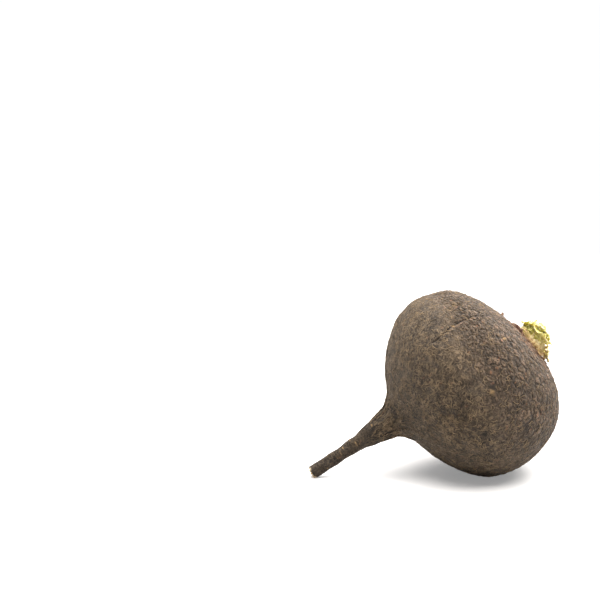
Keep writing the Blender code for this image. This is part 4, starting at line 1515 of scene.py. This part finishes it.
class FinishSettings(bpy.types.PropertyGroup):
    skin_ground: colour_of("Skin ground", "Darkest skin", (0.0085, 0.0056, 0.0036))
    skin_brown: colour_of("Skin brown", "Lighter skin", (0.027, 0.0185, 0.0112))
    skin_grey: colour_of("Skin grey", "Bluish grey patches", (0.034, 0.029, 0.0255))
    plate_tan: colour_of("Plate tan", "Lightest cracked plates", (0.27, 0.180, 0.120))
    gap_shade: colour_of("Gap black", "Bottom of cracks and gaps", (0.006, 0.004, 0.0028))
    rim_tan: colour_of("Rim tan", "Cracked plates next to the crown", (0.28, 0.172, 0.112))
    rust: colour_of("Rust", "Small reddish flecks", (0.23, 0.105, 0.055))
    fibre_tan: colour_of("Fibre tan", "Felt fibres", (0.30, 0.21, 0.120))
    scab_ochre: colour_of("Scab ochre", "Scabs and lenticels", (0.30, 0.19, 0.085))
    # Painted shade in the cracks, along the crease and in the neck's folds
    cork_brown: colour_of("Cork brown", "Darker crown cork", (0.045, 0.024, 0.015))
    cork_pale: colour_of("Cork pale", "Lighter crown cork", (0.185, 0.108, 0.063))
    # Dark red, partly painted shade on the lip's wall
    shaded_maroon: colour_of("Maroon", "Torn skin at the plate's edge", (0.055, 0.018, 0.011))
    straw: colour_of("Straw", "Dry leaf bases", (0.58, 0.43, 0.20))
    straw_brown: colour_of("Straw brown", "Streaks in the dry leaf bases", (0.26, 0.15, 0.06))
    leaf_lime: colour_of("Leaf lime", "Young blade", (0.50, 0.465, 0.115))
    leaf_yellow: colour_of("Leaf yellow", "Yellowest part of the blade", (0.62, 0.53, 0.19))
    leaf_green: colour_of("Leaf green", "Frilled edge", (0.26, 0.255, 0.065))
    petiole: colour_of("Petiole", "Stalks and veins", (0.74, 0.63, 0.38))
    cut_cream: colour_of("Cut cream", "Cut end of the taproot", (0.66, 0.55, 0.38))


class StageSettings(bpy.types.PropertyGroup):
    lens: number("Lens", "Focal length in millimetres", 85.0)
    distance: length("Distance", "From the camera to the body's middle", 0.6375)
    turn: angle("Turn", "Camera's turn round the radish", -4.68)
    lift: angle("Lift", "Camera's height angle", 8.7)
    roll: angle("Roll", "Camera's tilt to one side", 1.2)
    picture_size: count_of("Picture size", "Sides of the picture, pixels", 600)
    middle_across: number("Middle across", "Where the body's middle lies in the picture, in pixels", 469.5)
    middle_down: number("Middle down", "Where the body's middle lies in the picture, in pixels", 381.8)
    soft_box_power: number("Soft box", "Power of the top light", 70.0)
    rim_power: number("Rim light", "Power of the light behind", 9.0)
    sky: number("Sky", "Brightness of the white surroundings", 0.225)


class RADISH_OT_skin(bpy.types.Operator):
    """Turns, bends and roughens the root's skin"""

    bl_idname = "radish.skin"
    bl_label = "Skin"

    def execute(self, context):
        mesh = bmesh.new()
        turned_root(mesh, context.scene.radish_skin.sides)
        roughen(mesh, context.scene.radish_skin)
        above_table(mesh)
        finished(mesh, "radish_skin", skin_material(context.scene.radish_finish), "dark_skin", "root")
        return {"FINISHED"}


class RADISH_OT_crown(bpy.types.Operator):
    """Lays the cork flakes, the leaf scars and the lips of torn skin on the crown"""

    bl_idname = "radish.crown"
    bl_label = "Crown Cork"

    def execute(self, context):
        cork = cork_material(context.scene.radish_finish)
        finished(cork_flakes(context.scene.radish_crown), "cork_flakes", cork, "dark_skin")
        finished(leaf_scars(), "leaf_scars", cork, "dark_skin")
        finished(rim_lips(), "rim_lips", lip_material(context.scene.radish_finish), "dark_skin")
        return {"FINISHED"}


class RADISH_OT_sheaths(bpy.types.Operator):
    """Builds the ring of dry leaf bases in the crown's well"""

    bl_idname = "radish.sheaths"
    bl_label = "Leaf Sheaths"

    def execute(self, context):
        straw = straw_material(context.scene.radish_finish)
        finished(on_crown(dry_sheaths()), "dry_sheaths", straw, "dry_sheath", "leaf_sheaths")
        return {"FINISHED"}


class RADISH_OT_tuft(bpy.types.Operator):
    """Grows the heart bud, the young leaves and the frilled head"""

    bl_idname = "radish.tuft"
    bl_label = "Leaf Tuft"

    def execute(self, context):
        tuft = context.scene.radish_tuft
        green = leaf_material(context.scene.radish_finish)
        finished(on_crown(heart_bud()), "heart_bud", green, "bud_green", "bud")
        for count, (*leaf, greenness) in enumerate(YOUNG_LEAVES):
            mesh = on_crown(grown_leaf(leaf, greenness, count, tuft, 1.0))
            finished(mesh, f"leaf_{count + 1}", green, "young_leaf_green", f"young_leaf_{count + 1}")
        filling = leaf_mesh()[0]
        for count, (*leaf, greenness) in enumerate(FILLING_LEAVES):
            append(filling, grown_leaf(leaf, greenness, count + 0.5, tuft, FILLING_CURL))
        finished(on_crown(filling), "filling_leaves", green, "young_leaf_green")
        finished(frilled_head(), "frilled_head", green, "young_leaf_green")
        return {"FINISHED"}


class RADISH_OT_fibres(bpy.types.Operator):
    """Lays the felt fibres, the neck's fuzz, the crown's dry threads and the shreds of the cut tip"""

    bl_idname = "radish.fibres"
    bl_label = "Fibres"

    def execute(self, context):
        settings = context.scene.radish_fibres
        finish = context.scene.radish_finish
        draw = random.Random(SEEDS["fibres"])
        tree = surface_tree("radish_skin")
        felt = thread_material("felt_fibre", finish.skin_brown, finish.fibre_tan)
        dry = thread_material("dry_thread", finish.straw_brown, finish.straw)
        pale = thread_material("torn_flesh", finish.scab_ochre, finish.cut_cream)
        thread_object("felt_fibres", body_threads(draw, tree, settings), felt, "dark_skin")
        thread_object("neck_fuzz", neck_threads(draw, tree, settings), felt, "dark_skin")
        thread_object("crown_threads", crown_threads(draw, settings), dry, "dry_sheath")
        thread_object("torn_tip", torn_tip(draw, settings), pale, "dark_skin")
        return {"FINISHED"}


class RADISH_OT_stage(bpy.types.Operator):
    """Sets up the white table, the lights and the camera"""

    bl_idname = "radish.stage"
    bl_label = "Studio"

    def execute(self, context):
        stage = context.scene.radish_stage
        white_table()
        white_room(stage.sky)
        soft_light("soft_box", SOFT_BOX_AT, SOFT_BOX_SIZE, stage.soft_box_power)
        soft_light("rim_light", RIM_LIGHT_AT, RIM_LIGHT_SIZE, stage.rim_power)
        stand_camera(stage)
        return {"FINISHED"}


class RADISH_PT_panel(bpy.types.Panel):
    """Lists the steps that build the radish"""

    bl_idname = "RADISH_PT_panel"
    bl_label = "Black Radish"
    bl_space_type = "VIEW_3D"
    bl_region_type = "UI"
    bl_category = "Radish"

    def draw(self, context):
        for operator in OPERATORS:
            self.layout.operator(operator.bl_idname)
        for name in SETTINGS:
            box = self.layout.box()
            group = getattr(context.scene, name)
            for key in group.__annotations__:
                box.prop(group, key)


OPERATORS = (
    RADISH_OT_skin,
    RADISH_OT_crown,
    RADISH_OT_sheaths,
    RADISH_OT_tuft,
    RADISH_OT_fibres,
    RADISH_OT_stage,
)
SETTINGS = {
    "radish_skin": SkinSettings,
    "radish_crown": CrownSettings,
    "radish_tuft": TuftSettings,
    "radish_fibres": FibreSettings,
    "radish_finish": FinishSettings,
    "radish_stage": StageSettings,
}


def register():
    for name, group in SETTINGS.items():
        bpy.utils.register_class(group)
        setattr(bpy.types.Scene, name, bpy.props.PointerProperty(type=group))
    for operator in OPERATORS:
        bpy.utils.register_class(operator)
    bpy.utils.register_class(RADISH_PT_panel)


def unregister():
    bpy.utils.unregister_class(RADISH_PT_panel)
    for operator in reversed(OPERATORS):
        bpy.utils.unregister_class(operator)
    for name, group in SETTINGS.items():
        delattr(bpy.types.Scene, name)
        bpy.utils.unregister_class(group)


def main():
    """Builds the whole radish and its studio, step by step."""
    register()
    bpy.ops.radish.skin()
    bpy.ops.radish.crown()
    bpy.ops.radish.sheaths()
    bpy.ops.radish.tuft()
    bpy.ops.radish.fibres()
    bpy.ops.radish.stage()


if __name__ == "__main__":
    main()
